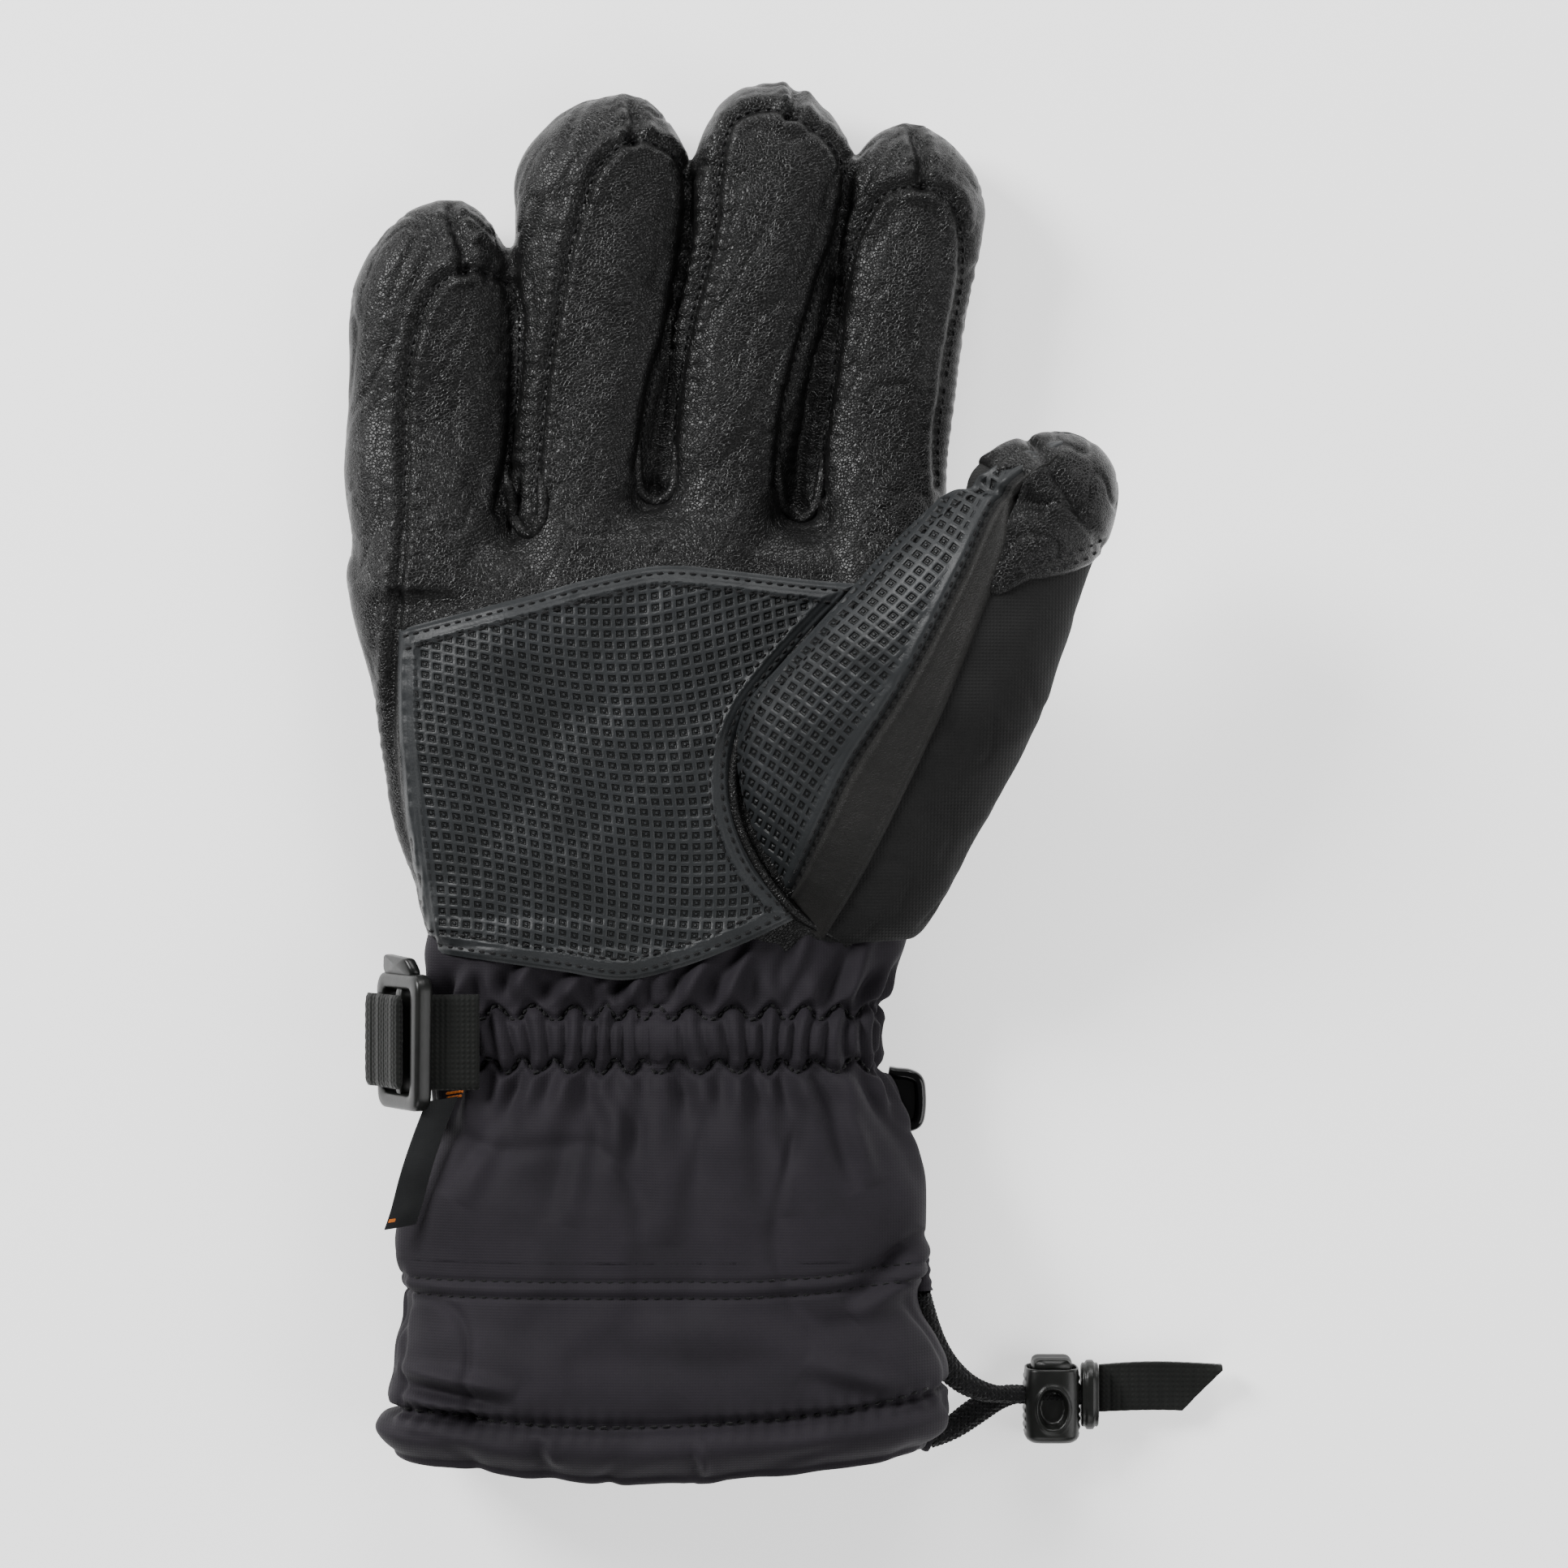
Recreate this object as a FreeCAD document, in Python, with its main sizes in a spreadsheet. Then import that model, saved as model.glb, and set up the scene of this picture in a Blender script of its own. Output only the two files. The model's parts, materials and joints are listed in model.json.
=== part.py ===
import FreeCAD, Part
import math
import os
import Sketcher

from FreeCAD import Placement, Rotation, Vector

# A padded right-hand ski glove, lying on its back with the palm up.
# +Y points to the fingertips, +X to the thumb side and +Z up, out of the palm.
# The origin is under the palm, on the plane that the glove rests on. Millimetres.

doc = FreeCAD.newDocument("ski_glove")
sheet = doc.addObject("Spreadsheet::Sheet", "sizes")

DIGITS = ["little", "ring", "middle", "index", "thumb"]

# Boxes that only bound a region reach this far, past the whole glove.
REACH = "400"
HALF_REACH = "-200"

SIZES = {
    # the hand: a flat tapered tube, open at the wrist and at the fingers
    "hand_start": -35.0,
    "hand_end": 54.0,
    "hand_left_low": -52.5,
    "hand_right_low": 53.5,
    "hand_left_high": -66.5,
    "hand_right_high": 60.5,
    "hand_height": 33.0,
    "hand_round": 12.0,
    "panel_split": 8.0,
    "leather_thick": 1.6,
    "insulation_thick": 3.4,
    "membrane_thick": 0.6,
    "lining_thick": 1.0,
    "layer_gap": 0.05,
    "open_past": 2.0,
    "patch_thick": 1.0,
    "patch_left": -54.0,
    "patch_low": -36.0,
    "patch_high": 43.5,
    # the digits: padded tubes with a fold at the knuckle and one at the middle joint
    "shell_thick": 1.8,
    "digit_lining_thick": 3.0,
    "front_depth": 7.0,
    "fold_gap": 0.6,
    "fold_height_share": 0.62,
    "palm_fold_angle": 36.0,
    "back_fold_angle": 3.0,
    "root_length": 12.0,
    "thumb_root_length": 30.0,
    "thumb_hole_radius": 10.0,
    "thumb_hole_left": 8.5,
    "thumb_hole_below": 13.0,
    "thumb_socket_wall": 3.0,
    "thumb_socket_height": 2.6,
    "root_gap": 0.02,
    "web_gap": 0.3,
    "digit_round": 8.5,
    "digit_round_loss": 0.8,
    "tip_round_share": 0.36,
    "cutter_margin": 6.0,
    # wrist and gauntlet: three tapered tubes and a hem, from the wrist to the mouth; the gap
    # between the hand and the wrist is what the wrist's fold needs
    "wrist_top_y": -41.0,
    "wrist_low_y": -66.0,
    "upper_low_y": -104.0,
    "skirt_low_y": -136.0,
    "hem_low_y": -147.0,
    "wrist_top_left": -51.0,
    "wrist_top_right": 51.0,
    "wrist_low_left": -49.0,
    "wrist_low_right": 45.0,
    "upper_low_left": -56.0,
    "upper_low_right": 51.0,
    "skirt_low_left": -58.5,
    "skirt_low_right": 57.0,
    "wrist_floor": 3.0,
    "wrist_ceiling": 34.0,
    "upper_floor": 1.0,
    "upper_ceiling": 40.0,
    "skirt_floor": 0.5,
    "skirt_ceiling": 44.0,
    "hem_growth": 1.2,
    "hem_thick": 3.0,
    "sleeve_round": 13.0,
    "shell_fabric_thick": 1.4,
    "elastic_thick": 1.0,
    "elastic_high_y": -46.0,
    "elastic_low_y": -62.0,
    "sleeve_lining_thick": 1.2,
    # wrist strap, its buckle and the pair clip
    "webbing_width": 20.0,
    "webbing_thick": 1.4,
    "webbing_play": 1.4,
    "strap_y": -54.0,
    "buckle_length": 28.8,
    "buckle_width": 20.0,
    "buckle_thick": 3.4,
    "buckle_slot": 3.4,
    "buckle_bar": 3.0,
    "buckle_x": -54.5,
    "buckle_z": 30.5,
    "buckle_tilt": 62.0,
    "tail_length": 13.5,
    "tail_top": 2.0,
    "tail_gap": 0.4,
    "anchor_left": -48.0,
    "anchor_length": 12.0,
    "label_left": -47.0,
    "label_low": -92.0,
    "label_width": 8.0,
    "label_length": 24.0,
    "label_thick": 0.8,
    "label_lift": 4.2,
    "strap_left": -58.0,
    "strap_floor": 0.6,
    "strap_rise": 19.0,
    "strap_right": 42.0,
    "clip_length": 8.0,
    "clip_width": 13.0,
    "clip_thick": 3.4,
    "clip_bar": 2.4,
    "clip_stub": 2.0,
    "clip_x": 47.4,
    "clip_y": -67.5,
    "clip_z": 12.0,
    # drawcord, cord lock, cord end and pull tab
    "cord_diameter": 3.4,
    "lock_x": 82.8,
    "lock_y": -131.5,
    "lock_floor": 0.4,
    "lock_length": 12.0,
    "lock_below": 10.0,
    "lock_above": 6.0,
    "lock_height": 12.6,
    "lock_corner": 2.6,
    "plunger_width": 9.0,
    "plunger_height": 10.0,
    "plunger_below": 3.2,
    "plunger_above": 8.5,
    "plunger_fit": 0.08,
    "plunger_travel": 2.5,
    "pocket_below": 8.5,
    "pocket_past": 5.0,
    "lower_cord_z": 4.8,
    "upper_cord_z": 8.6,
    "cord_clearance": 0.35,
    "spring_wire": 0.8,
    "spring_radius": 2.4,
    "spring_turns": 3.0,
    "end_x": 89.2,
    "end_length": 3.6,
    "end_width": 15.0,
    "end_height": 9.6,
    "end_corner": 4.4,
    "tab_x": 93.6,
    "tab_length": 25.5,
    "tab_width": 10.0,
    "tab_thick": 2.4,
    "tab_z": 3.4,
    "tab_lift": 2.0,
    "tab_slant": 8.0,
    "tab_flare": 0.4,
    "tunnel_x": 52.2,
    "tunnel_y": -107.0,
    "tunnel_z": 20.0,
    "tunnel_size": 4.6,
    "tunnel_length": 6.5,
}

# Each digit: x and y of its knuckle fold, height of its underside, turn towards the thumb,
# roll about its own length, width, thickness, length to the middle fold, whole length.
DIGIT_SIZES = {
    "little": (-49.3, 64.0, 0.0, 1.0, 0.0, 31.0, 25.0, 27.0, 59.5),
    "ring": (-16.5, 71.0, 0.0, 2.6, 0.0, 29.6, 26.0, 33.0, 74.5),
    "middle": (15.2, 71.5, 0.0, 5.4, 0.0, 28.6, 26.0, 34.0, 77.5),
    "index": (47.4, 68.0, 0.0, 4.6, 0.0, 27.6, 26.0, 32.0, 71.0),
    "thumb": (43.9, 5.0, 50.8, 31.0, -35.0, 33.0, 28.0, 36.0, 77.0),
}
DIGIT_FIELDS = ["x", "y", "z", "turn", "roll", "width", "thick", "lower", "length"]
for digit, values in DIGIT_SIZES.items():
    for field, value in zip(DIGIT_FIELDS, values):
        SIZES[digit + "_" + field] = value

for row, (alias, value) in enumerate(SIZES.items(), start=1):
    sheet.set("A" + str(row), alias)
    sheet.set("B" + str(row), str(value))
    sheet.setAlias("B" + str(row), alias)
doc.recompute()


def size(alias):
    """The number that a cell of the sheet holds."""
    return float(sheet.get(alias))


def value_of(expression):
    """The value of an expression over the sheet's cells."""
    value = sheet.evalExpression(expression)
    return float(getattr(value, "Value", value))


def bind(item, **expressions):
    """Bind properties to expressions; a double underscore in a name stands for a dot."""
    for name, expression in expressions.items():
        item.setExpression(name.replace("__", "."), expression)
    return item


def block(name, x, y, z, dx, dy, dz):
    """A box from its low corner and its three sizes, all expressions."""
    item = doc.addObject("Part::Box", name)
    bind(item, Placement__Base__x=x, Placement__Base__y=y, Placement__Base__z=z)
    return bind(item, Length=dx, Width=dy, Height=dz)


def taper(name, low, high, inset, past):
    """A tapered block along Y. low and high are the y, left, right, floor and ceiling of its ends."""
    item = doc.addObject("Part::Wedge", name)
    inset = "(" + inset + ")"
    bind(item, Ymin=low[0] + " - " + past, Ymax=high[0] + " + " + past)
    bind(item, Xmin=low[1] + " + " + inset, Xmax=low[2] + " - " + inset)
    bind(item, Zmin=low[3] + " + " + inset, Zmax=low[4] + " - " + inset)
    bind(item, X2min=high[1] + " + " + inset, X2max=high[2] + " - " + inset)
    bind(item, Z2min=high[3] + " + " + inset, Z2max=high[4] + " - " + inset)
    return item


def boolean(kind, name, base, tool):
    item = doc.addObject("Part::" + kind, name)
    item.Base = base
    item.Tool = tool
    return item


def cut(name, base, tool):
    return boolean("Cut", name, base, tool)


def common(name, base, tool):
    return boolean("Common", name, base, tool)


def group(name, members):
    item = doc.addObject("Part::Compound", name)
    item.Links = members
    return item


def rounded(name, base, radius, wanted):
    """Fillet the edges of base that wanted picks, with one radius."""
    doc.recompute()
    item = doc.addObject("Part::Fillet", name)
    item.Base = base
    edges = enumerate(base.Shape.Edges, start=1)
    item.Edges = [(number, radius, radius) for number, edge in edges if wanted(edge)]
    return item


def runs_along_y(edge):
    span = edge.Vertexes[-1].Point - edge.Vertexes[0].Point
    return abs(span.y) > 0.9 * edge.Length


def tube(name, low, high, outer_inset, inner_inset, radius):
    """A tapered sleeve with round long edges, open at both ends."""
    outside = taper(name + "_outside", low, high, outer_inset, "sizes.open_past")
    outside = rounded(name + "_outside_round", outside, radius - value_of(outer_inset), runs_along_y)
    inside = taper(name + "_inside", low, high, inner_inset, "sizes.open_past")
    inside = rounded(name + "_inside_round", inside, radius - value_of(inner_inset), runs_along_y)
    long_sleeve = cut(name + "_long", outside, inside)
    length = high[0] + " - (" + low[0] + ")"
    span = block(name + "_span", HALF_REACH, low[0], HALF_REACH, REACH, length, REACH)
    return common(name, long_sleeve, span)


# ---------------------------------------------------------------- the hand

HAND_LOW = ["sizes.hand_start", "sizes.hand_left_low", "sizes.hand_right_low", "0", "sizes.hand_height"]
HAND_HIGH = ["sizes.hand_end", "sizes.hand_left_high", "sizes.hand_right_high", "0", "sizes.hand_height"]
SHELL_IN = "sizes.leather_thick"
PADDING_OUT = SHELL_IN + " + sizes.layer_gap"
PADDING_IN = PADDING_OUT + " + sizes.insulation_thick"
MEMBRANE_OUT = PADDING_IN + " + sizes.layer_gap"
MEMBRANE_IN = MEMBRANE_OUT + " + sizes.membrane_thick"
LINING_OUT = MEMBRANE_IN + " + sizes.layer_gap"
LINING_IN = LINING_OUT + " + sizes.lining_thick"

hand_radius = size("hand_round")
shell = tube("hand_shell", HAND_LOW, HAND_HIGH, "0", SHELL_IN, hand_radius)
insulation = tube("insulation_sleeve", HAND_LOW, HAND_HIGH, PADDING_OUT, PADDING_IN, hand_radius)
membrane = tube("membrane_sleeve", HAND_LOW, HAND_HIGH, MEMBRANE_OUT, MEMBRANE_IN, hand_radius)
lining = tube("lining_sleeve", HAND_LOW, HAND_HIGH, LINING_OUT, LINING_IN, hand_radius)

# The thumb's cavity joins the hand's through a round hole in the palm.
thumb_hole = doc.addObject("Part::Cylinder", "thumb_hole")
bind(thumb_hole, Radius="sizes.thumb_hole_radius", Height="sizes.hand_height")
bind(thumb_hole, Placement__Base__x="sizes.thumb_x - sizes.thumb_hole_left")
bind(thumb_hole, Placement__Base__y="sizes.thumb_y - sizes.thumb_hole_below")
bind(thumb_hole, Placement__Base__z="sizes.hand_height / 2")

# Zones that share the shell out between its panels.
SPLIT_LOW = "sizes.panel_split"
SPLIT_HIGH = "sizes.hand_height - sizes.panel_split"
WALL_HEIGHT = "sizes.hand_height - 2 * sizes.panel_split"
top_zone = block("top_zone", HALF_REACH, HALF_REACH, SPLIT_HIGH, REACH, REACH, REACH)
floor_zone = block("floor_zone", HALF_REACH, HALF_REACH, SPLIT_LOW + " - " + REACH, REACH, REACH, REACH)
left_wall_zone = block("left_wall_zone", "-" + REACH, HALF_REACH, SPLIT_LOW, REACH, REACH, WALL_HEIGHT)
right_wall_zone = block("right_wall_zone", "0", HALF_REACH, SPLIT_LOW, REACH, REACH, WALL_HEIGHT)

palm_sheet = common("palm_sheet", shell, top_zone)
palm_leather = cut("palm_leather", palm_sheet, thumb_hole)
hand_back = common("hand_back", shell, floor_zone)
hand_edge_strip = common("hand_edge_strip", shell, left_wall_zone)
thumb_side_wall = common("thumb_side_wall", shell, right_wall_zone)
hand_insulation = cut("hand_insulation", insulation, thumb_hole)
waterproof_membrane = cut("waterproof_membrane", membrane, thumb_hole)
hand_lining = cut("hand_lining", lining, thumb_hole)

# The embossed patch lies on the palm leather, its right side cut back around the thumb.
# Its corners are chosen by hand.
PATCH_OUTLINE = [
    ("sizes.patch_left", "sizes.patch_high - 9"),
    ("sizes.patch_left + 2", "sizes.patch_high"),
    ("15", "sizes.patch_high"),
    ("38", "sizes.patch_high - 1"),
    ("24", "sizes.patch_high - 22"),
    ("14", "8"),
    ("13", "0"),
    ("22", "sizes.patch_low + 8"),
    ("15", "sizes.patch_low + 4"),
    ("-8", "sizes.patch_low + 1"),
    ("-36", "sizes.patch_low + 2"),
    ("sizes.patch_left + 5", "sizes.patch_low + 6"),
]


def origin_plane(body, role):
    return [plane for plane in body.Origin.OriginFeatures if plane.Role == role][0]


def sketch_on(body, name, role):
    sketch = body.newObject("Sketcher::SketchObject", name)
    sketch.AttachmentSupport = (origin_plane(body, role), [""])
    sketch.MapMode = "FlatFace"
    return sketch


def draw_polygon(sketch, corners):
    """A closed outline whose corners are held by constraints bound to the sheet."""
    count = len(corners)
    probe = [(value_of(x), value_of(y)) for x, y in corners]
    for number in range(count):
        start = Vector(probe[number][0], probe[number][1], 0)
        end = Vector(probe[(number + 1) % count][0], probe[(number + 1) % count][1], 0)
        sketch.addGeometry(Part.LineSegment(start, end))
    for number in range(count):
        sketch.addConstraint(Sketcher.Constraint("Coincident", number, 2, (number + 1) % count, 1))
    for number, corner in enumerate(corners):
        for kind, expression, value in zip(("DistanceX", "DistanceY"), corner, probe[number]):
            index = sketch.addConstraint(Sketcher.Constraint(kind, -1, 1, number, 1, value))
            sketch.setExpression("Constraints[" + str(index) + "]", expression)


def pad(body, name, sketch, length, symmetric=False):
    item = body.newObject("PartDesign::Pad", name)
    item.Profile = sketch
    item.Length = value_of(length)
    item.setExpression("Length", length)
    if symmetric:
        item.SideType = "Symmetric"
    return item


def through_pocket(body, name, sketch, length):
    """A pocket cut evenly to both sides of its sketch."""
    item = body.newObject("PartDesign::Pocket", name)
    item.Profile = sketch
    item.Length = value_of(length)
    item.setExpression("Length", length)
    item.SideType = "Symmetric"
    return item


def rectangle(left, low, right, high):
    return [(left, low), (right, low), (right, high), (left, high)]


def volume_drops(body, before, name):
    doc.recompute()
    if not body.Shape.Volume < before - 0.1:
        raise RuntimeError(name + " cut nothing")


palm_patch = doc.addObject("PartDesign::Body", "palm_patch")
patch_sketch = sketch_on(palm_patch, "patch_sketch", "XY_Plane")
draw_polygon(patch_sketch, PATCH_OUTLINE)
pad(palm_patch, "patch_pad", patch_sketch, "sizes.patch_thick")
bind(palm_patch, Placement__Base__z="sizes.hand_height")

# ---------------------------------------------------------------- the digits

PADDED_OUT = "sizes.shell_thick + sizes.layer_gap"


def digit_place(item, digit):
    """Set a digit's own frame: y along it, z out of its palm side, hinge of the knuckle at y 0."""
    name = "sizes." + digit
    item.setExpression(
        "Placement",
        "placement(vector({0}_x; {0}_y; {0}_z); rotation(-{0}_turn; {0}_roll; 0))".format(name),
    )
    return item


def padded_box(digit, layer, inset, closed_base):
    """One layer's outline of a digit, with round long edges and a round tip."""
    name = "sizes." + digit
    depth = value_of(inset)
    inset = "(" + inset + ")"
    low_end = "-sizes.thumb_root_length + " + inset if closed_base else "-sizes.root_length - 1"
    high_end = name + "_length - " + inset
    item = block(
        digit + "_" + layer,
        "-" + name + "_width / 2 + " + inset,
        low_end,
        floor_of(digit) + " + " + inset,
        name + "_width - 2 * " + inset,
        high_end + " - (" + low_end + ")",
        name + "_thick - 2 * " + inset,
    )
    high_y = size(digit + "_length") - depth
    low_y = -size("thumb_root_length") + depth
    floor_z = value_of(floor_of(digit)) + depth
    ceiling_z = floor_z + size(digit + "_thick") - 2 * depth

    def upright(edge):
        points = [vertex.Point for vertex in edge.Vertexes]
        tall = abs(points[0].z - points[-1].z) > 1
        at_tip = abs(points[0].y - high_y) < 0.01
        at_base = closed_base and abs(points[0].y - low_y) < 0.01
        return tall and (at_tip or at_base)

    def flat_outline(edge):
        box = edge.BoundBox
        level = box.ZLength < 0.01
        outer = min(abs(box.ZMin - floor_z), abs(box.ZMin - ceiling_z)) < 0.01
        open_end = not closed_base and box.YMax < -size("root_length") - 0.5
        return level and outer and not open_end

    tip_radius = size(digit + "_width") * size("tip_round_share") - depth
    item = rounded(digit + "_" + layer + "_tip", item, tip_radius, upright)
    edge_radius = size("digit_round") - depth * size("digit_round_loss")
    return rounded(digit + "_" + layer + "_round", item, edge_radius, flat_outline)


def floor_of(digit):
    """Height of the underside in the digit's own frame: 0 for a finger, below 0 for the thumb."""
    return "0" if digit != "thumb" else "-sizes.thumb_thick / 2"


def fold_cutter(digit, name, y):
    """The space that a fold needs: a wide wedge on the palm side and a narrow one on the back."""
    pivot = floor_of(digit) + " + sizes." + digit + "_thick * sizes.fold_height_share"
    wedges = []
    sides = (("palm", "sizes.palm_fold_angle", 90), ("back", "sizes.back_fold_angle", -90))
    for side, angle, turn in sides:
        wedge = doc.addObject("Part::Wedge", name + "_" + side)
        reach = "sizes." + digit + "_thick"
        half_width = "sizes." + digit + "_width / 2 + sizes.cutter_margin"
        bind(wedge, Ymin="0", Ymax=reach, Xmin="-(" + half_width + ")", Xmax=half_width)
        bind(wedge, X2min="-(" + half_width + ")", X2max=half_width)
        bind(wedge, Zmin="-sizes.fold_gap", Zmax="sizes.fold_gap")
        open_width = "sizes.fold_gap + " + reach + " * tan(" + angle + " * 1deg)"
        bind(wedge, Z2min="-(" + open_width + ")", Z2max=open_width)
        wedge.setExpression(
            "Placement", "placement(vector(0; " + y + "; " + pivot + "); rotation(0; 0; " + str(turn) + "))"
        )
        wedges.append(wedge)
    item = doc.addObject("Part::Fuse", name)
    item.Base, item.Tool = wedges
    return item


def build_digit(digit):
    """A digit's nodes, and the tube of its root, which stays with the hand."""
    closed_base = digit == "thumb"
    own = "sizes." + digit
    outer = padded_box(digit, "outer", "0", closed_base)
    shell_inside = padded_box(digit, "shell_inside", "sizes.shell_thick", closed_base)
    lining_outside = padded_box(digit, "lining_outside", PADDED_OUT, closed_base)
    core = padded_box(digit, "core", PADDED_OUT + " + sizes.digit_lining_thick", closed_base)
    skin = cut(digit + "_skin", outer, shell_inside)
    padding = cut(digit + "_padding", lining_outside, core)

    split = floor_of(digit) + " + " + own + "_thick - sizes.front_depth"
    left = "-(" + own + "_width / 2 + sizes.cutter_margin)"
    width = own + "_width + 2 * sizes.cutter_margin"
    low = "-sizes.thumb_root_length - sizes.cutter_margin"
    over = block(digit + "_over", left, low, split, width, REACH, REACH)
    under = block(digit + "_under", left, low, split + " - " + REACH, width, REACH, REACH)
    layers = {
        "palm_panel": common(digit + "_front_skin", skin, over),
        "back_panel": common(digit + "_back_skin", skin, under),
        "lining": padding,
    }

    knuckle = fold_cutter(digit, digit + "_knuckle_fold", "0")
    joint = fold_cutter(digit, digit + "_joint_fold", own + "_lower")
    folds = doc.addObject("Part::Fuse", digit + "_folds")
    folds.Base, folds.Tool = knuckle, joint
    spans = {
        "root": (low, "-(" + low + ")"),
        "lower": ("0", own + "_lower"),
        "upper": (own + "_lower", REACH),
    }
    zones = {}
    for span, (start, length) in spans.items():
        whole = block(digit + "_" + span + "_span", left, start, HALF_REACH, width, length, REACH)
        zones[span] = cut(digit + "_" + span + "_zone", whole, folds)

    made = []
    for layer, solid in layers.items():
        for span in ("lower", "upper"):
            item = common(digit + "_" + layer + "_" + span, solid, zones[span])
            made.append(digit_place(item, digit))
    root = {}
    for layer, solid in (("skin", skin), ("padding", padding)):
        item = common(digit + "_root_" + layer, solid, zones["root"])
        root[layer] = digit_place(item, digit)
    return made, root


nodes = [palm_leather, hand_back, hand_edge_strip, thumb_side_wall]
nodes += [hand_insulation, waterproof_membrane, hand_lining, palm_patch]

WEB_LOW = "sizes.hand_end + sizes.web_gap"
beyond_hand = block("beyond_hand", HALF_REACH, WEB_LOW, HALF_REACH, REACH, REACH, REACH)
ROOT_LOW = "sizes.hand_height + sizes.root_gap"
above_palm = block("above_palm", HALF_REACH, HALF_REACH, ROOT_LOW, REACH, REACH, REACH)
finger_roots = []
for digit in DIGITS:
    segments, root = build_digit(digit)
    nodes += segments
    if digit == "thumb":
        thumb_root_solid = common("thumb_root_solid", root["skin"], above_palm)
        socket = doc.addObject("Part::Cylinder", "thumb_socket")
        bind(socket, Radius="sizes.thumb_hole_radius + sizes.thumb_socket_wall")
        bind(socket, Height="sizes.thumb_socket_height")
        bind(socket, Placement__Base__x="thumb_hole.Placement.Base.x")
        bind(socket, Placement__Base__y="thumb_hole.Placement.Base.y")
        bind(socket, Placement__Base__z=ROOT_LOW)
        socketed_root = doc.addObject("Part::Fuse", "socketed_root")
        socketed_root.Base = thumb_root_solid
        socketed_root.Tool = socket
        thumb_root = cut("thumb_root", socketed_root, thumb_hole)
    else:
        finger_roots.append(common(digit + "_web", root["skin"], beyond_hand))
finger_webs = group("finger_webs", finger_roots)
nodes += [thumb_root, finger_webs]

# ---------------------------------------------------------------- wrist and gauntlet


WRIST_TOP = ["sizes.wrist_top_y", "sizes.wrist_top_left", "sizes.wrist_top_right"]
WRIST_TOP += ["sizes.wrist_floor", "sizes.wrist_ceiling"]
WRIST_LOW = ["sizes.wrist_low_y", "sizes.wrist_low_left", "sizes.wrist_low_right"]
WRIST_LOW += ["sizes.wrist_floor", "sizes.wrist_ceiling"]
UPPER_LOW = ["sizes.upper_low_y", "sizes.upper_low_left", "sizes.upper_low_right"]
UPPER_LOW += ["sizes.upper_floor", "sizes.upper_ceiling"]
SKIRT_LOW = ["sizes.skirt_low_y", "sizes.skirt_low_left", "sizes.skirt_low_right"]
SKIRT_LOW += ["sizes.skirt_floor", "sizes.skirt_ceiling"]
HEM_TOP = ["sizes.skirt_low_y", "sizes.skirt_low_left - sizes.hem_growth"]
HEM_TOP += ["sizes.skirt_low_right + sizes.hem_growth", "0", "sizes.skirt_ceiling + sizes.hem_growth"]
HEM_LOW = ["sizes.hem_low_y"] + HEM_TOP[1:]

sleeve_radius = size("sleeve_round")
FABRIC_IN = "sizes.shell_fabric_thick"
ELASTIC_OUT = FABRIC_IN + " + sizes.layer_gap"
ELASTIC_IN = ELASTIC_OUT + " + sizes.elastic_thick"
SLEEVE_LINING_OUT = ELASTIC_IN + " + sizes.layer_gap"
SLEEVE_LINING_IN = SLEEVE_LINING_OUT + " + sizes.sleeve_lining_thick"

wrist = tube("wrist_sleeve", WRIST_LOW, WRIST_TOP, "0", FABRIC_IN, sleeve_radius)
upper = tube("upper_sleeve", UPPER_LOW, WRIST_LOW, "0", FABRIC_IN, sleeve_radius)
elastic = tube("elastic_sleeve", WRIST_LOW, WRIST_TOP, ELASTIC_OUT, ELASTIC_IN, sleeve_radius)
gauntlet_skirt = tube("gauntlet_skirt", SKIRT_LOW, UPPER_LOW, "0", FABRIC_IN, sleeve_radius)
hem_channel = tube("hem_channel", HEM_LOW, HEM_TOP, "0", "sizes.hem_thick", sleeve_radius)

MIDDLE_HEIGHT = "(sizes.wrist_floor + sizes.wrist_ceiling) / 2"
above_middle = block("above_middle", HALF_REACH, HALF_REACH, MIDDLE_HEIGHT, REACH, REACH, REACH)
below_middle = block(
    "below_middle", HALF_REACH, HALF_REACH, MIDDLE_HEIGHT + " - " + REACH, REACH, REACH, REACH
)
# One fabric panel on each side runs from the gathered wrist to the skirt's seam.
gauntlet_palm_side = group(
    "gauntlet_palm_side",
    [common("wrist_palm_half", wrist, above_middle), common("upper_palm_half", upper, above_middle)],
)
gauntlet_back_side = group(
    "gauntlet_back_side",
    [common("wrist_back_half", wrist, below_middle), common("upper_back_half", upper, below_middle)],
)

elastic_span = block(
    "elastic_span", HALF_REACH, "sizes.elastic_low_y", HALF_REACH,
    REACH, "sizes.elastic_high_y - sizes.elastic_low_y", REACH,
)
wrist_elastic = common("wrist_elastic", elastic, elastic_span)

lining_parts = []
for name, low, high in (
    ("wrist_lining", WRIST_LOW, WRIST_TOP),
    ("upper_lining", UPPER_LOW, WRIST_LOW),
    ("skirt_lining", SKIRT_LOW, UPPER_LOW),
):
    lining_parts.append(tube(name, low, high, SLEEVE_LINING_OUT, SLEEVE_LINING_IN, sleeve_radius))
gauntlet_lining = group("gauntlet_lining", lining_parts)

strap_anchor = block(
    "strap_anchor", "sizes.anchor_left", "sizes.strap_y - sizes.webbing_width / 2",
    "sizes.wrist_ceiling + sizes.layer_gap",
    "sizes.anchor_length", "sizes.webbing_width", "sizes.webbing_thick",
)
side_label = block(
    "side_label", "sizes.label_left", "sizes.label_low", "sizes.wrist_ceiling + sizes.label_lift",
    "sizes.label_width", "sizes.label_length", "sizes.label_thick",
)

nodes += [gauntlet_palm_side, gauntlet_back_side]
nodes += [wrist_elastic, gauntlet_skirt, hem_channel, gauntlet_lining, strap_anchor, side_label]

# ---------------------------------------------------------------- wrist strap, buckle and clip

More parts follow.
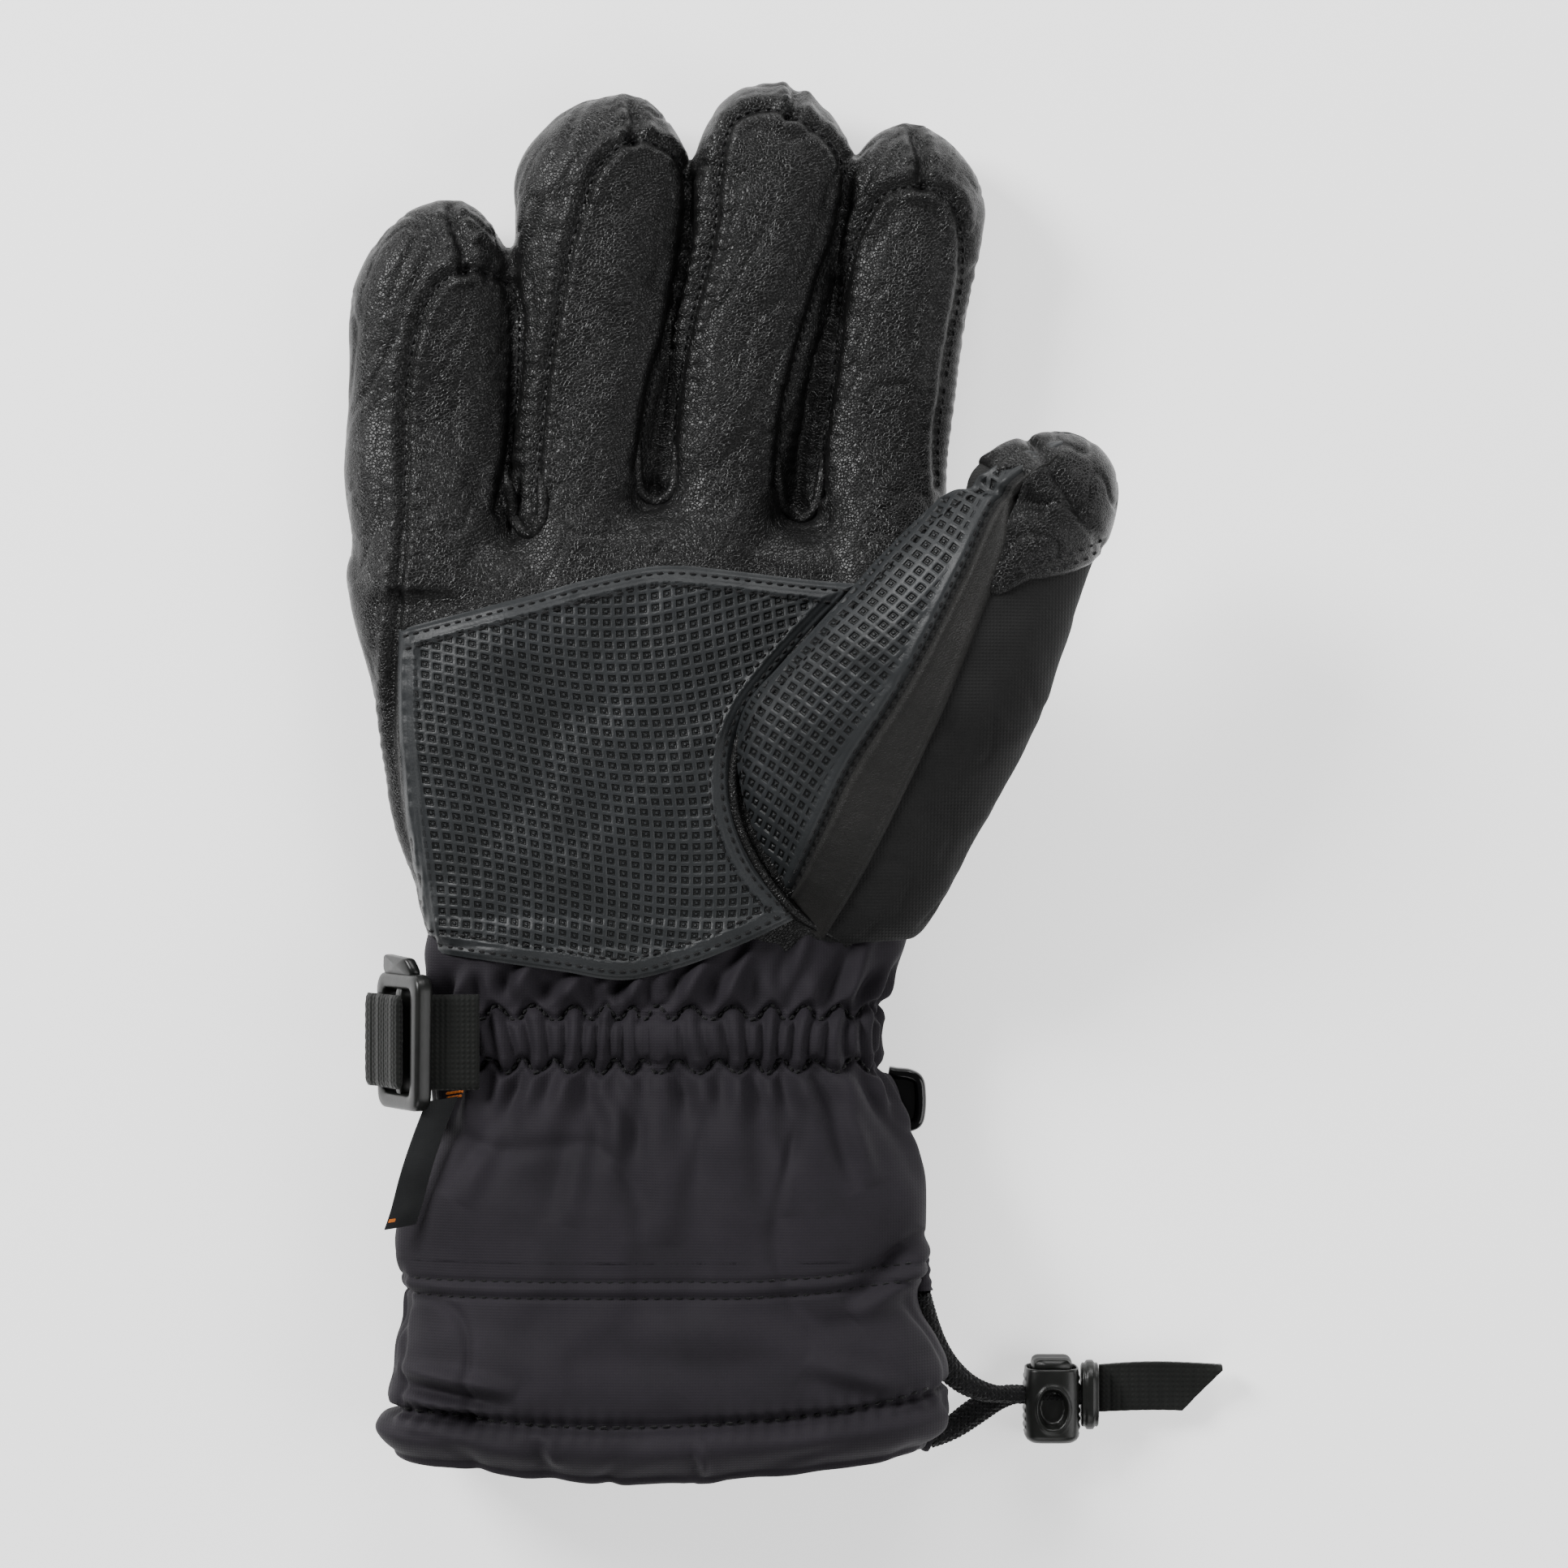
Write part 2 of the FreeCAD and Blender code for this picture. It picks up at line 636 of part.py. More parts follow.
strap_low = "sizes.strap_y - sizes.webbing_width / 2"
strap_across = block(
    "strap_across", "sizes.strap_left", strap_low, "sizes.strap_floor",
    "sizes.strap_right - sizes.strap_left", "sizes.webbing_width", "sizes.webbing_thick",
)
strap_upright = block(
    "strap_upright", "sizes.strap_left", strap_low, "sizes.strap_floor",
    "sizes.webbing_thick", "sizes.webbing_width", "sizes.strap_rise",
)
wrist_strap = doc.addObject("Part::Fuse", "wrist_strap")
wrist_strap.Base = strap_across
wrist_strap.Tool = strap_upright

BUCKLE_PLACE = (
    "placement(vector(sizes.buckle_x; sizes.strap_y; sizes.buckle_z); rotation(0; -sizes.buckle_tilt; 0))"
)
HALF_BUCKLE = "sizes.buckle_width / 2"
HALF_LENGTH = "sizes.buckle_length / 2"
HALF_WEBBING = "(sizes.webbing_width + sizes.webbing_play) / 2"

# The ladder buckle: a flat frame with three bars along Y and a slot for the webbing between them.
ladder_buckle = doc.addObject("PartDesign::Body", "ladder_buckle")
frame_sketch = sketch_on(ladder_buckle, "frame_sketch", "XY_Plane")
draw_polygon(
    frame_sketch, rectangle("-" + HALF_BUCKLE, "-" + HALF_LENGTH, HALF_BUCKLE, HALF_LENGTH)
)
pad(ladder_buckle, "frame_pad", frame_sketch, "sizes.buckle_thick", symmetric=True)
doc.recompute()
frame_volume = ladder_buckle.Shape.Volume
SLOTS = [
    ("upper_slot", "sizes.buckle_bar / 2"),
    ("lower_slot", "-sizes.buckle_bar / 2 - sizes.buckle_slot"),
]
for name, left in SLOTS:
    slot_sketch = sketch_on(ladder_buckle, name + "_sketch", "XY_Plane")
    right = left + " + sizes.buckle_slot"
    draw_polygon(slot_sketch, rectangle(left, "-" + HALF_WEBBING, right, HALF_WEBBING))
    through_pocket(ladder_buckle, name, slot_sketch, "3 * sizes.buckle_thick")
    volume_drops(ladder_buckle, frame_volume, name)
    frame_volume = ladder_buckle.Shape.Volume
ladder_buckle.setExpression("Placement", BUCKLE_PLACE)

strap_tail = block(
    "strap_tail", "0", "0", "0", "sizes.tail_length", "sizes.webbing_width", "sizes.webbing_thick"
)
strap_tail.setExpression(
    "Placement",
    BUCKLE_PLACE + " * placement(vector(sizes.tail_top - sizes.tail_length; -sizes.webbing_width / 2;"
    " sizes.buckle_thick / 2 + sizes.tail_gap); rotation(0; 0; 0))",
)

# The pair clip: a small plate with an open hook gap.
pair_clip = doc.addObject("PartDesign::Body", "pair_clip")
clip_sketch = sketch_on(pair_clip, "clip_sketch", "XY_Plane")
draw_polygon(
    clip_sketch,
    [
        ("0", "-sizes.clip_width / 2"),
        ("sizes.clip_length", "-sizes.clip_width / 2"),
        ("sizes.clip_length", "sizes.clip_width / 2"),
        ("sizes.clip_stub", "sizes.clip_width / 2"),
        ("sizes.clip_stub", "sizes.clip_width / 2 - sizes.clip_bar"),
        ("sizes.clip_length - sizes.clip_bar", "sizes.clip_width / 2 - sizes.clip_bar"),
        ("sizes.clip_length - sizes.clip_bar", "sizes.clip_bar - sizes.clip_width / 2"),
        ("0", "sizes.clip_bar - sizes.clip_width / 2"),
    ],
)
pad(pair_clip, "clip_pad", clip_sketch, "sizes.clip_thick", symmetric=True)
pair_clip.setExpression(
    "Placement", "placement(vector(sizes.clip_x; sizes.clip_y; sizes.clip_z); rotation(0; 0; 0))"
)

nodes += [wrist_strap, ladder_buckle, strap_tail, pair_clip]

# ---------------------------------------------------------------- drawcord and cord lock


def lock_block(name, half_x, below, above, low_z, high_z):
    """A box about the axis on which the cords run through the lock."""
    return block(
        name, "sizes.lock_x - (" + half_x + ")", "sizes.lock_y - (" + below + ")", low_z,
        "2 * (" + half_x + ")", "(" + below + ") + (" + above + ")", "(" + high_z + ") - (" + low_z + ")",
    )


LOCK_LOW = "sizes.lock_floor"
LOCK_HIGH = "sizes.lock_floor + sizes.lock_height"
LOCK_MIDDLE = "(sizes.lock_floor + sizes.lock_height / 2)"
SLOT_HALF = "sizes.cord_diameter / 2 + sizes.cord_clearance"
SLOT_LOW = "sizes.lower_cord_z - sizes.cord_diameter / 2 - sizes.cord_clearance"
SLOT_HIGH = "sizes.upper_cord_z + sizes.cord_diameter / 2 + sizes.cord_clearance"
PLUNGER_LOW = LOCK_MIDDLE + " - sizes.plunger_height / 2"
PLUNGER_HIGH = LOCK_MIDDLE + " + sizes.plunger_height / 2"

housing_block = lock_block(
    "housing_block", "sizes.lock_length / 2", "sizes.lock_below", "sizes.lock_above", LOCK_LOW, LOCK_HIGH
)


def runs_along_z(edge):
    return edge.BoundBox.ZLength > 0.9 * edge.Length and edge.Length > 1


housing_round = rounded("housing_round", housing_block, size("lock_corner"), runs_along_z)
cord_slot = lock_block("cord_slot", "sizes.lock_length", SLOT_HALF, SLOT_HALF, SLOT_LOW, SLOT_HIGH)
plunger_pocket = lock_block(
    "plunger_pocket", "sizes.plunger_width / 2 + sizes.plunger_fit",
    "sizes.pocket_below", "sizes.lock_above + sizes.pocket_past",
    PLUNGER_LOW + " - sizes.plunger_fit", PLUNGER_HIGH + " + sizes.plunger_fit",
)
housing_slotted = cut("housing_slotted", housing_round, cord_slot)
cord_lock_housing = cut("cord_lock_housing", housing_slotted, plunger_pocket)

plunger_block = lock_block(
    "plunger_block", "sizes.plunger_width / 2", "sizes.plunger_below", "sizes.plunger_above",
    PLUNGER_LOW, PLUNGER_HIGH,
)
plunger_slot = lock_block(
    "plunger_slot", "sizes.lock_length", SLOT_HALF, SLOT_HALF + " + sizes.plunger_travel",
    SLOT_LOW, SLOT_HIGH,
)
cord_lock_plunger = cut("cord_lock_plunger", plunger_block, plunger_slot)

# The spring under the plunger fills the pocket's blind end. Its wire has eight flats.
spring_path = doc.addObject("Part::Helix", "spring_path")
SPRING_ROOM = "(sizes.pocket_below - sizes.plunger_below - 2 * sizes.spring_wire)"
bind(spring_path, Radius="sizes.spring_radius", Height=SPRING_ROOM)
bind(spring_path, Pitch=SPRING_ROOM + " / sizes.spring_turns")
spring_path.setExpression(
    "Placement",
    "placement(vector(sizes.lock_x; sizes.lock_y - sizes.pocket_below + sizes.spring_wire; "
    + LOCK_MIDDLE + "); rotation(0; 0; -90))",
)
wire_section = doc.addObject("Part::RegularPolygon", "wire_section")
wire_section.Polygon = 8
bind(wire_section, Circumradius="sizes.spring_wire / 2")
wire_section.setExpression(
    "Placement",
    "placement(vector(sizes.lock_x + sizes.spring_radius; sizes.lock_y - sizes.pocket_below"
    " + sizes.spring_wire; " + LOCK_MIDDLE + "); rotation(0; 0; 0))",
)
cord_lock_spring = doc.addObject("Part::Sweep", "cord_lock_spring")
cord_lock_spring.Sections = [wire_section]
cord_lock_spring.Spine = (spring_path, [])
cord_lock_spring.Solid = True
cord_lock_spring.Frenet = True

cord_end_block = block(
    "cord_end_block", "sizes.end_x", "sizes.lock_y - sizes.end_width / 2",
    "(sizes.lower_cord_z + sizes.upper_cord_z) / 2 - sizes.end_height / 2",
    "sizes.end_length", "sizes.end_width", "sizes.end_height",
)


def runs_along_x(edge):
    return edge.BoundBox.XLength > 0.9 * edge.Length and edge.Length > 1


cord_end = rounded("cord_end", cord_end_block, size("end_corner"), runs_along_x)

# The pull tab: folded webbing with a slanted end.
pull_tab = doc.addObject("PartDesign::Body", "pull_tab")
tab_sketch = sketch_on(pull_tab, "tab_sketch", "XY_Plane")
draw_polygon(
    tab_sketch,
    [
        ("0", "-sizes.tab_width / 2"),
        ("sizes.tab_length - sizes.tab_slant", "-sizes.tab_width / 2 - sizes.tab_flare"),
        ("sizes.tab_length", "sizes.tab_width / 2"),
        ("0", "sizes.tab_width / 2"),
    ],
)
pad(pull_tab, "tab_pad", tab_sketch, "sizes.tab_thick")
pull_tab.setExpression(
    "Placement",
    "placement(vector(sizes.tab_x; sizes.lock_y + sizes.tab_lift; sizes.tab_z); rotation(0; 0; 0))",
)

drawcord_tunnel = block(
    "drawcord_tunnel", "sizes.tunnel_x", "sizes.tunnel_y", "sizes.tunnel_z - sizes.tunnel_size / 2",
    "sizes.tunnel_size", "sizes.tunnel_length", "sizes.tunnel_size",
)

# The two strands, each a list of points chosen by hand, from the glove to the cord end.
UPPER_STRAND = [
    (54.5, -107.9, 20.0),
    (55.5, -116.0, 16.5),
    (59.5, -125.0, 11.5),
    (67.0, -131.0, 8.8),
    (78.4, -131.5, 8.6),
    (89.2, -131.5, 8.6),
]
LOWER_STRAND = [
    (56.8, -141.5, 4.6),
    (60.8, -139.8, 3.6),
    (66.5, -135.5, 3.6),
    (72.5, -131.7, 4.7),
    (80.9, -131.5, 4.8),
    (89.2, -131.5, 4.8),
]


# The share of the shorter run beside a corner that its arc takes.
ARC_SHARE = 0.45


def cord_path(points):
    """Straight runs joined by tangent arcs, as one wire; the radii are printed."""
    points = [Vector(*point) for point in points]
    edges = []
    here = points[0]
    radii = []
    for before, corner, after in zip(points, points[1:], points[2:]):
        back = (before - corner).normalize()
        ahead = (after - corner).normalize()
        turn = math.pi - back.getAngle(ahead)
        shorter = min((before - corner).Length, (after - corner).Length)
        cut_back = ARC_SHARE * shorter
        radii.append(cut_back / math.tan(turn / 2))
        start = corner + back * cut_back
        end = corner + ahead * cut_back
        to_middle = (back + ahead).normalize()
        centre_distance = math.hypot(cut_back, radii[-1])
        middle = corner + to_middle * (centre_distance - radii[-1])
        edges.append(Part.LineSegment(here, start).toShape())
        edges.append(Part.Arc(start, middle, end).toShape())
        here = end
    edges.append(Part.LineSegment(here, points[-1]).toShape())
    print("radii", [round(radius, 1) for radius in radii])
    return Part.Wire(edges)


def cord(name, points):
    """A round tube along a path, its volume compared with section times length."""
    path = cord_path(points)
    radius = size("cord_diameter") / 2
    direction = Vector(*points[1]) - Vector(*points[0])
    ring = Part.Wire([Part.makeCircle(radius, Vector(*points[0]), direction)])
    solid = path.makePipeShell([ring], True, False)
    expected = math.pi * radius**2 * path.Length
    print(name, "length", round(path.Length, 1), "volume share", round(solid.Volume / expected, 4))
    item = doc.addObject("Part::Feature", name)
    item.Shape = solid
    item.Placement = Placement(Vector(0, 0, 0), Rotation())
    return item


drawcord_upper = cord("drawcord_upper", UPPER_STRAND)
drawcord_lower = cord("drawcord_lower", LOWER_STRAND)

nodes += [cord_lock_housing, cord_lock_plunger, cord_lock_spring, cord_end, pull_tab]
nodes += [drawcord_tunnel, drawcord_upper, drawcord_lower]


# ---------------------------------------------------------------- check and write

doc.recompute()
for item in doc.Objects:
    if "Invalid" in item.State or "Error" in item.State:
        raise RuntimeError(item.Name + " failed: " + str(item.State))
for node in nodes:
    node.Label = node.Name
    if node.Shape.isNull() or not node.Shape.isValid():
        raise RuntimeError(node.Name + " has no valid shape")

os.makedirs("parts", exist_ok=True)
for node in nodes:
    node.Shape.exportStep("parts/" + node.Name + ".step")
print(len(nodes), "nodes")
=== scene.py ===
import json
import math

import bpy
import numpy as np
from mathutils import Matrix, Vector
from mathutils.bvhtree import BVHTree


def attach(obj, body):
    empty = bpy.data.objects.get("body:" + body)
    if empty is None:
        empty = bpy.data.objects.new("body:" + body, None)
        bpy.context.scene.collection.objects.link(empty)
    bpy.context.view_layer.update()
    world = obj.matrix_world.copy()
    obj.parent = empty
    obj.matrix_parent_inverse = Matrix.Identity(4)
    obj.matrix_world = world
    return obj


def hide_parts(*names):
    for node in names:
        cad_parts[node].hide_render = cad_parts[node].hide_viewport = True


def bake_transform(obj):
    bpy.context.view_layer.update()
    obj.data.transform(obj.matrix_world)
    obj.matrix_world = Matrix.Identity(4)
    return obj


# A padded ski glove lying on its back, palm up. Shapes are worked out in millimetres in the
# row frame (+X thumb side, +Y fingertips, +Z up) and scaled to metres when a mesh is made.

MM = 0.001
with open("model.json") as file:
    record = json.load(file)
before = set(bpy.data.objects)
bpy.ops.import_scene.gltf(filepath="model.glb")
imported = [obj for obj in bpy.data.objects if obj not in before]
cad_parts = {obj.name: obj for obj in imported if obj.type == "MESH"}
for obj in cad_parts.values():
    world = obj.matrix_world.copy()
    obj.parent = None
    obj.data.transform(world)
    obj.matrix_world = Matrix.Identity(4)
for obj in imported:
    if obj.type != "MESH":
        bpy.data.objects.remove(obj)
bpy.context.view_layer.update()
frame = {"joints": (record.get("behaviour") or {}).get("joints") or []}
JOINTS = {joint["name"]: joint for joint in frame["joints"]}
FINGERS = ["little", "ring", "middle", "index"]

# ---------------------------------------------------------------- numbers and noise
TINY = 1e-9


def bell(offset, width):
    """A rounded bump: 1 where the offset is 0, and fading away over the width to each side."""
    return np.exp(-((offset / width) ** 2))


def ramp(rise, length):
    """A slope from 0 to 1 over a length, level before and after it; rise starts at its foot."""
    return np.clip(rise / length, 0, 1)


def power(value, exponent):
    """A power that keeps the sign; it squares off the sine and cosine of a round section."""
    return np.sign(value) * np.abs(value) ** exponent


def unit(vectors, spare=0.0):
    """Vectors brought to length 1; spare keeps a length of 0 from dividing by 0."""
    return vectors / (np.linalg.norm(vectors, axis=-1, keepdims=True) + spare)


def lengths_along(line):
    """How far along a line of points each one lies."""
    return np.concatenate([[0], np.cumsum(np.linalg.norm(np.diff(line, axis=0), axis=1))])


def read_line(line, along, places):
    """Points of a line at the given lengths along it."""
    return np.stack([np.interp(places, along, values) for values in line.T], axis=1)


def smoothed(values):
    """Heights along a line, each replaced by the mean of the 13 round it."""
    return np.convolve(np.pad(values, 6, mode="edge"), np.ones(13) / 13, mode="valid")


def capped(rings):
    """Rings of points, closed at each end by a ring drawn in to its middle."""
    first, last = (np.repeat(ring.mean(axis=0)[None], len(ring), axis=0) for ring in (rings[0], rings[-1]))
    return np.array([first, *rings, last])


LATTICE = np.random.default_rng(7).random((24, 24, 24))


def noise(points, scale, shift=0.0):
    """Smooth value noise from 0 to 1 at points in millimetres, with lumps of that size."""
    spots = np.asarray(points, float) / scale + shift
    low = np.floor(spots).astype(int)
    part = spots - low
    part = part * part * (3 - 2 * part)
    total = np.zeros(spots.shape[:-1])
    for corner in np.ndindex(2, 2, 2):
        weight = np.ones(spots.shape[:-1])
        for axis in range(3):
            weight = weight * (part[..., axis] if corner[axis] else 1 - part[..., axis])
        place = (low + np.array(corner)) % 24
        total += weight * LATTICE[place[..., 0], place[..., 1], place[..., 2]]
    return total


def rough(points, scale, octaves=3, shift=0.0):
    """Several octaves of noise about 0, from about -0.5 to 0.5."""
    total = np.zeros(np.shape(points)[:-1])
    for octave in range(octaves):
        total += (noise(points, scale / 2**octave, shift + 3.7 * octave) - 0.5) / 1.8**octave
    return total


def creases(points, scale, shift=0.0):
    """Thin valleys: 0 almost everywhere, down to -1 along wandering lines."""
    value = np.abs(2 * noise(points, scale, shift) - 1)
    return -bell(value, 0.12)


def smooth_curve(knots, at):
    """A smooth line through knots of (place, value...), read at the given places."""
    knots = np.array(knots, float)
    place, values = knots[:, 0], knots[:, 1:]
    slopes = np.gradient(values, place, axis=0)
    at = np.clip(at, place[0], place[-1])
    index = np.clip(np.searchsorted(place, at, side="right") - 1, 0, len(place) - 2)
    width = (place[index + 1] - place[index])[:, None]
    t = (at - place[index])[:, None] / width
    first, last = values[index], values[index + 1]
    a, b = slopes[index] * width, slopes[index + 1] * width
    return (
        first * (1 + 2 * t) * (1 - t) ** 2 + a * t * (1 - t) ** 2
        + last * t * t * (3 - 2 * t) + b * t * t * (t - 1)
    )


def through(points, count):
    """A smooth line of count points that passes the given ones at equal steps."""
    knots = np.column_stack([np.arange(len(points)), points])
    return smooth_curve(knots, np.linspace(0, len(points) - 1, count))


def smooth_line(points, step=1.0):
    """Points every step millimetres along a smooth curve through the given ones."""
    points = np.array(points, float)
    along = lengths_along(points)
    places = np.linspace(0, along[-1], max(8, int(along[-1] / step)))
    return smooth_curve(np.column_stack([along, points]), places)


def near_line(xy, line):
    """Distance to a polyline in plan, and how far along it the nearest point is."""
    flat = xy.reshape(-1, 2)
    best = np.full(len(flat), 1e9)
    along = np.zeros(len(flat))
    gone = 0.0
    for start, end in zip(line[:-1], line[1:]):
        span = end - start
        length = np.linalg.norm(span) + 1e-9
        part = ramp((flat - start) @ span, length**2)
        distance = np.linalg.norm(flat - (start + part[:, None] * span), axis=1)
        closer = distance < best
        best[closer] = distance[closer]
        along[closer] = gone + part[closer] * length
        gone += length
    return best.reshape(xy.shape[:-1]), along.reshape(xy.shape[:-1])

# ---------------------------------------------------------------- meshes


def linked(name, data):
    """A new object in the scene that shows the given data."""
    item = bpy.data.objects.new(name, data)
    bpy.context.scene.collection.objects.link(item)
    return item


def mesh_object(name, vertices, quads):
    """A smooth mesh of four-sided faces over vertices in millimetres."""
    mesh = bpy.data.meshes.new(name)
    mesh.vertices.add(len(vertices))
    mesh.vertices.foreach_set("co", (vertices * MM).ravel())
    mesh.loops.add(quads.size)
    mesh.loops.foreach_set("vertex_index", quads.ravel())
    mesh.polygons.add(len(quads))
    mesh.polygons.foreach_set("loop_start", np.arange(0, quads.size, 4))
    mesh.polygons.foreach_set("use_smooth", np.ones(len(quads), bool))
    mesh.update(calc_edges=True)
    return linked(name, mesh)


def grid_faces(rows, columns, closed=False):
    """The faces between the points of a grid, which joins round when it is closed."""
    index = np.arange(rows * columns).reshape(rows, columns)
    right = np.roll(index, -1, axis=1) if closed else index[:, 1:]
    left = index if closed else index[:, :-1]
    return np.stack([left[:-1], right[:-1], right[1:], left[1:]], axis=-1).reshape(-1, 4)


def grid_object(name, points, closed=False, flip=False):
    """A mesh from a grid of points, rows by columns."""
    quads = grid_faces(*points.shape[:2], closed)
    return mesh_object(name, points.reshape(-1, 3), quads[:, ::-1] if flip else quads)


def quad_object(name, vertices, quads):
    """A smooth mesh from the given quads, with the unused vertices left out."""
    used, index = np.unique(quads, return_inverse=True)
    return mesh_object(name, vertices[used], index.reshape(-1, 4))


def dress(item, material, slot, body=None, *nodes):
    """Give a piece its material, the body it rides on and the CAD nodes it stands for; slot is not used."""
    item.data.materials.append(material)
    if body:
        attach(item, body)
    if nodes:
        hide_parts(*nodes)
    return item


def grid_normals(points, closed=False):
    """Unit normals of a grid, out of the side that the rows and columns turn towards."""
    down = np.gradient(points, axis=0)
    if closed:
        wrapped = np.concatenate([points[:, -1:], points, points[:, :1]], axis=1)
        across = np.gradient(wrapped, axis=1)[:, 1:-1]
    else:
        across = np.gradient(points, axis=1)
    normal = np.cross(across, down)
    return unit(normal, TINY)


def set_attribute(item, name, values):
    """Store a vector for each vertex, which a material reads by name."""
    attribute = item.data.attributes.new(name, "FLOAT_VECTOR", "POINT")
    attribute.data.foreach_set("vector", np.asarray(values, np.float32).reshape(-1, 3).ravel())


# ---------------------------------------------------------------- materials


def srgb(value):
    """The linear value of a 0 to 255 colour level."""
    level = value / 255
    return level / 12.92 if level <= 0.04045 else ((level + 0.055) / 1.055) ** 2.4


def colour(red, green, blue):
    return (srgb(red), srgb(green), srgb(blue), 1)


class Nodes:
    """A short way to build a node tree."""

    def __init__(self, name, rough_value, specular, sheen=0.0):
        self.material = bpy.data.materials.new(name)
        self.material.use_nodes = True
        self.tree = self.material.node_tree
        self.shader = self.tree.nodes["Principled BSDF"]
        self.shader.inputs["Roughness"].default_value = rough_value
        self.shader.inputs["Specular IOR Level"].default_value = specular
        self.shader.inputs["Sheen Weight"].default_value = sheen
        self.shader.inputs["Sheen Roughness"].default_value = 0.45
        self.shader.inputs["Coat Roughness"].default_value = 0.25
        self.place = self.add("ShaderNodeTexCoord").outputs["Object"]
        self.height = None

    def add(self, kind, **settings):
        node = self.tree.nodes.new(kind)
        for key, value in settings.items():
            if key.startswith("in_"):
                node.inputs[key[3:].replace("_", " ")].default_value = value
            else:
                setattr(node, key, value)
        return node

    def link(self, source, target):
        self.tree.links.new(source, target)

    def placed(self, kind, output, **settings):
        """A texture over the piece's own coordinates."""
        node = self.add(kind, **settings)
        self.link(self.place, node.inputs["Vector"])
        return node.outputs[output]

    def noise(self, scale, detail):
        return self.placed("ShaderNodeTexNoise", "Fac", in_Scale=scale, in_Detail=detail, in_Roughness=0.6)

    def cell_edges(self, scale):
        edges = {"feature": "DISTANCE_TO_EDGE", "in_Randomness": 1.0}
        return self.placed("ShaderNodeTexVoronoi", "Distance", in_Scale=scale, **edges)

    def wave(self, scale, direction, distortion):
        ways = {"bands_direction": direction, "in_Distortion": distortion}
        return self.placed("ShaderNodeTexWave", "Fac", in_Scale=scale, **ways)

    def math(self, operation, first, second=0.0):
        node = self.add("ShaderNodeMath", operation=operation)
        for slot, value in enumerate((first, second)):
            if isinstance(value, (int, float)):
                node.inputs[slot].default_value = value
            else:
                self.link(value, node.inputs[slot])
        return node.outputs["Value"]

    def ramp(self, source, low, high, dark, light):
        node = self.add("ShaderNodeValToRGB")
        node.color_ramp.elements[0].position = low
        node.color_ramp.elements[1].position = high
        node.color_ramp.elements[0].color = dark
        node.color_ramp.elements[1].color = light
        self.link(source, node.inputs["Fac"])
        return node.outputs["Color"]

    def base(self, source):
        self.link(source, self.shader.inputs["Base Color"])

    def spread_roughness(self, source, low, high):
        node = self.add("ShaderNodeMapRange", in_To_Min=low, in_To_Max=high)
        self.link(source, node.inputs["Value"])
        self.link(node.outputs["Result"], self.shader.inputs["Roughness"])

    def bump(self, source, distance, strength):
        """Add one more layer of relief, distance in metres."""
        node = self.add("ShaderNodeBump", in_Strength=strength, in_Distance=distance)
        self.link(source, node.inputs["Height"])
        if self.height is not None:
            self.link(self.height, node.inputs["Normal"])
        self.height = node.outputs["Normal"]
        self.link(self.height, self.shader.inputs["Normal"])


def leather(name, dark, light, shine, grain=1500.0):
    """Grained leather: fine cells, pores and soft wrinkles."""
    made = Nodes(name, shine, specular=0.24)
    blotches = made.noise(55.0, 5.0)
    made.base(made.ramp(blotches, 0.3, 0.75, dark, light))
    made.spread_roughness(made.noise(160.0, 3.0), shine - 0.1, shine + 0.12)
    made.bump(made.math("MINIMUM", made.cell_edges(grain), 0.18), 0.0007, 0.6)
    made.bump(made.noise(3200.0, 2.0), 0.00006, 0.4)
    made.bump(made.noise(420.0, 3.0), 0.0005, 0.45)
    return made.material


def woven(name, dark, light, pitch, depth, roughness=0.8, sheen=0.12):
    """Plain cloth: threads along X and Y, with a slight mottle."""
    made = Nodes(name, roughness, specular=0.12, sheen=sheen)
    made.base(made.ramp(made.noise(70.0, 6.0), 0.25, 0.8, dark, light))
    bands = 1 / pitch / 6.2832 * 2
    threads = [made.wave(bands, direction, 0.4) for direction in ("X", "Y")]
    made.bump(made.math("MULTIPLY", *threads), depth, 0.7)
    made.bump(made.noise(2600.0, 2.0), depth * 0.6, 0.5)
    return made.material


def embossed(name, dark, light, cell_dark):
    """Leather pressed with small square rings; the attribute cells counts the squares."""
    made = Nodes(name, 0.46, specular=0.3)
    cells = made.add("ShaderNodeAttribute", attribute_name="cells").outputs["Vector"]
    split = made.add("ShaderNodeSeparateXYZ")
    made.link(cells, split.inputs["Vector"])
    sides = []
    for axis in ("X", "Y"):
        inside = made.math("FRACT", split.outputs[axis])
        sides.append(made.math("ABSOLUTE", made.math("SUBTRACT", inside, 0.5)))
    reach = made.math("MAXIMUM", sides[0], sides[1])
    off_ring = made.math("ABSOLUTE", made.math("SUBTRACT", reach, 0.2))
    ring = made.add("ShaderNodeMapRange", interpolation_type="SMOOTHSTEP")
    ring.inputs["From Min"].default_value = 0.03
    ring.inputs["From Max"].default_value = 0.13
    made.link(off_ring, ring.inputs["Value"])
    flat = made.math("MAXIMUM", ring.outputs["Result"], made.math("SUBTRACT", 1.0, split.outputs["Z"]))
    body = made.ramp(made.noise(60.0, 5.0), 0.3, 0.75, dark, light)
    mix = made.add("ShaderNodeMix", data_type="RGBA")
    made.link(flat, mix.inputs["Factor"])
    mix.inputs["A"].default_value = cell_dark
    made.link(body, mix.inputs["B"])
    made.base(mix.outputs["Result"])
    made.bump(flat, 0.0004, 0.9)
    made.bump(made.noise(1700.0, 3.0), 0.00012, 0.6)
    return made.material


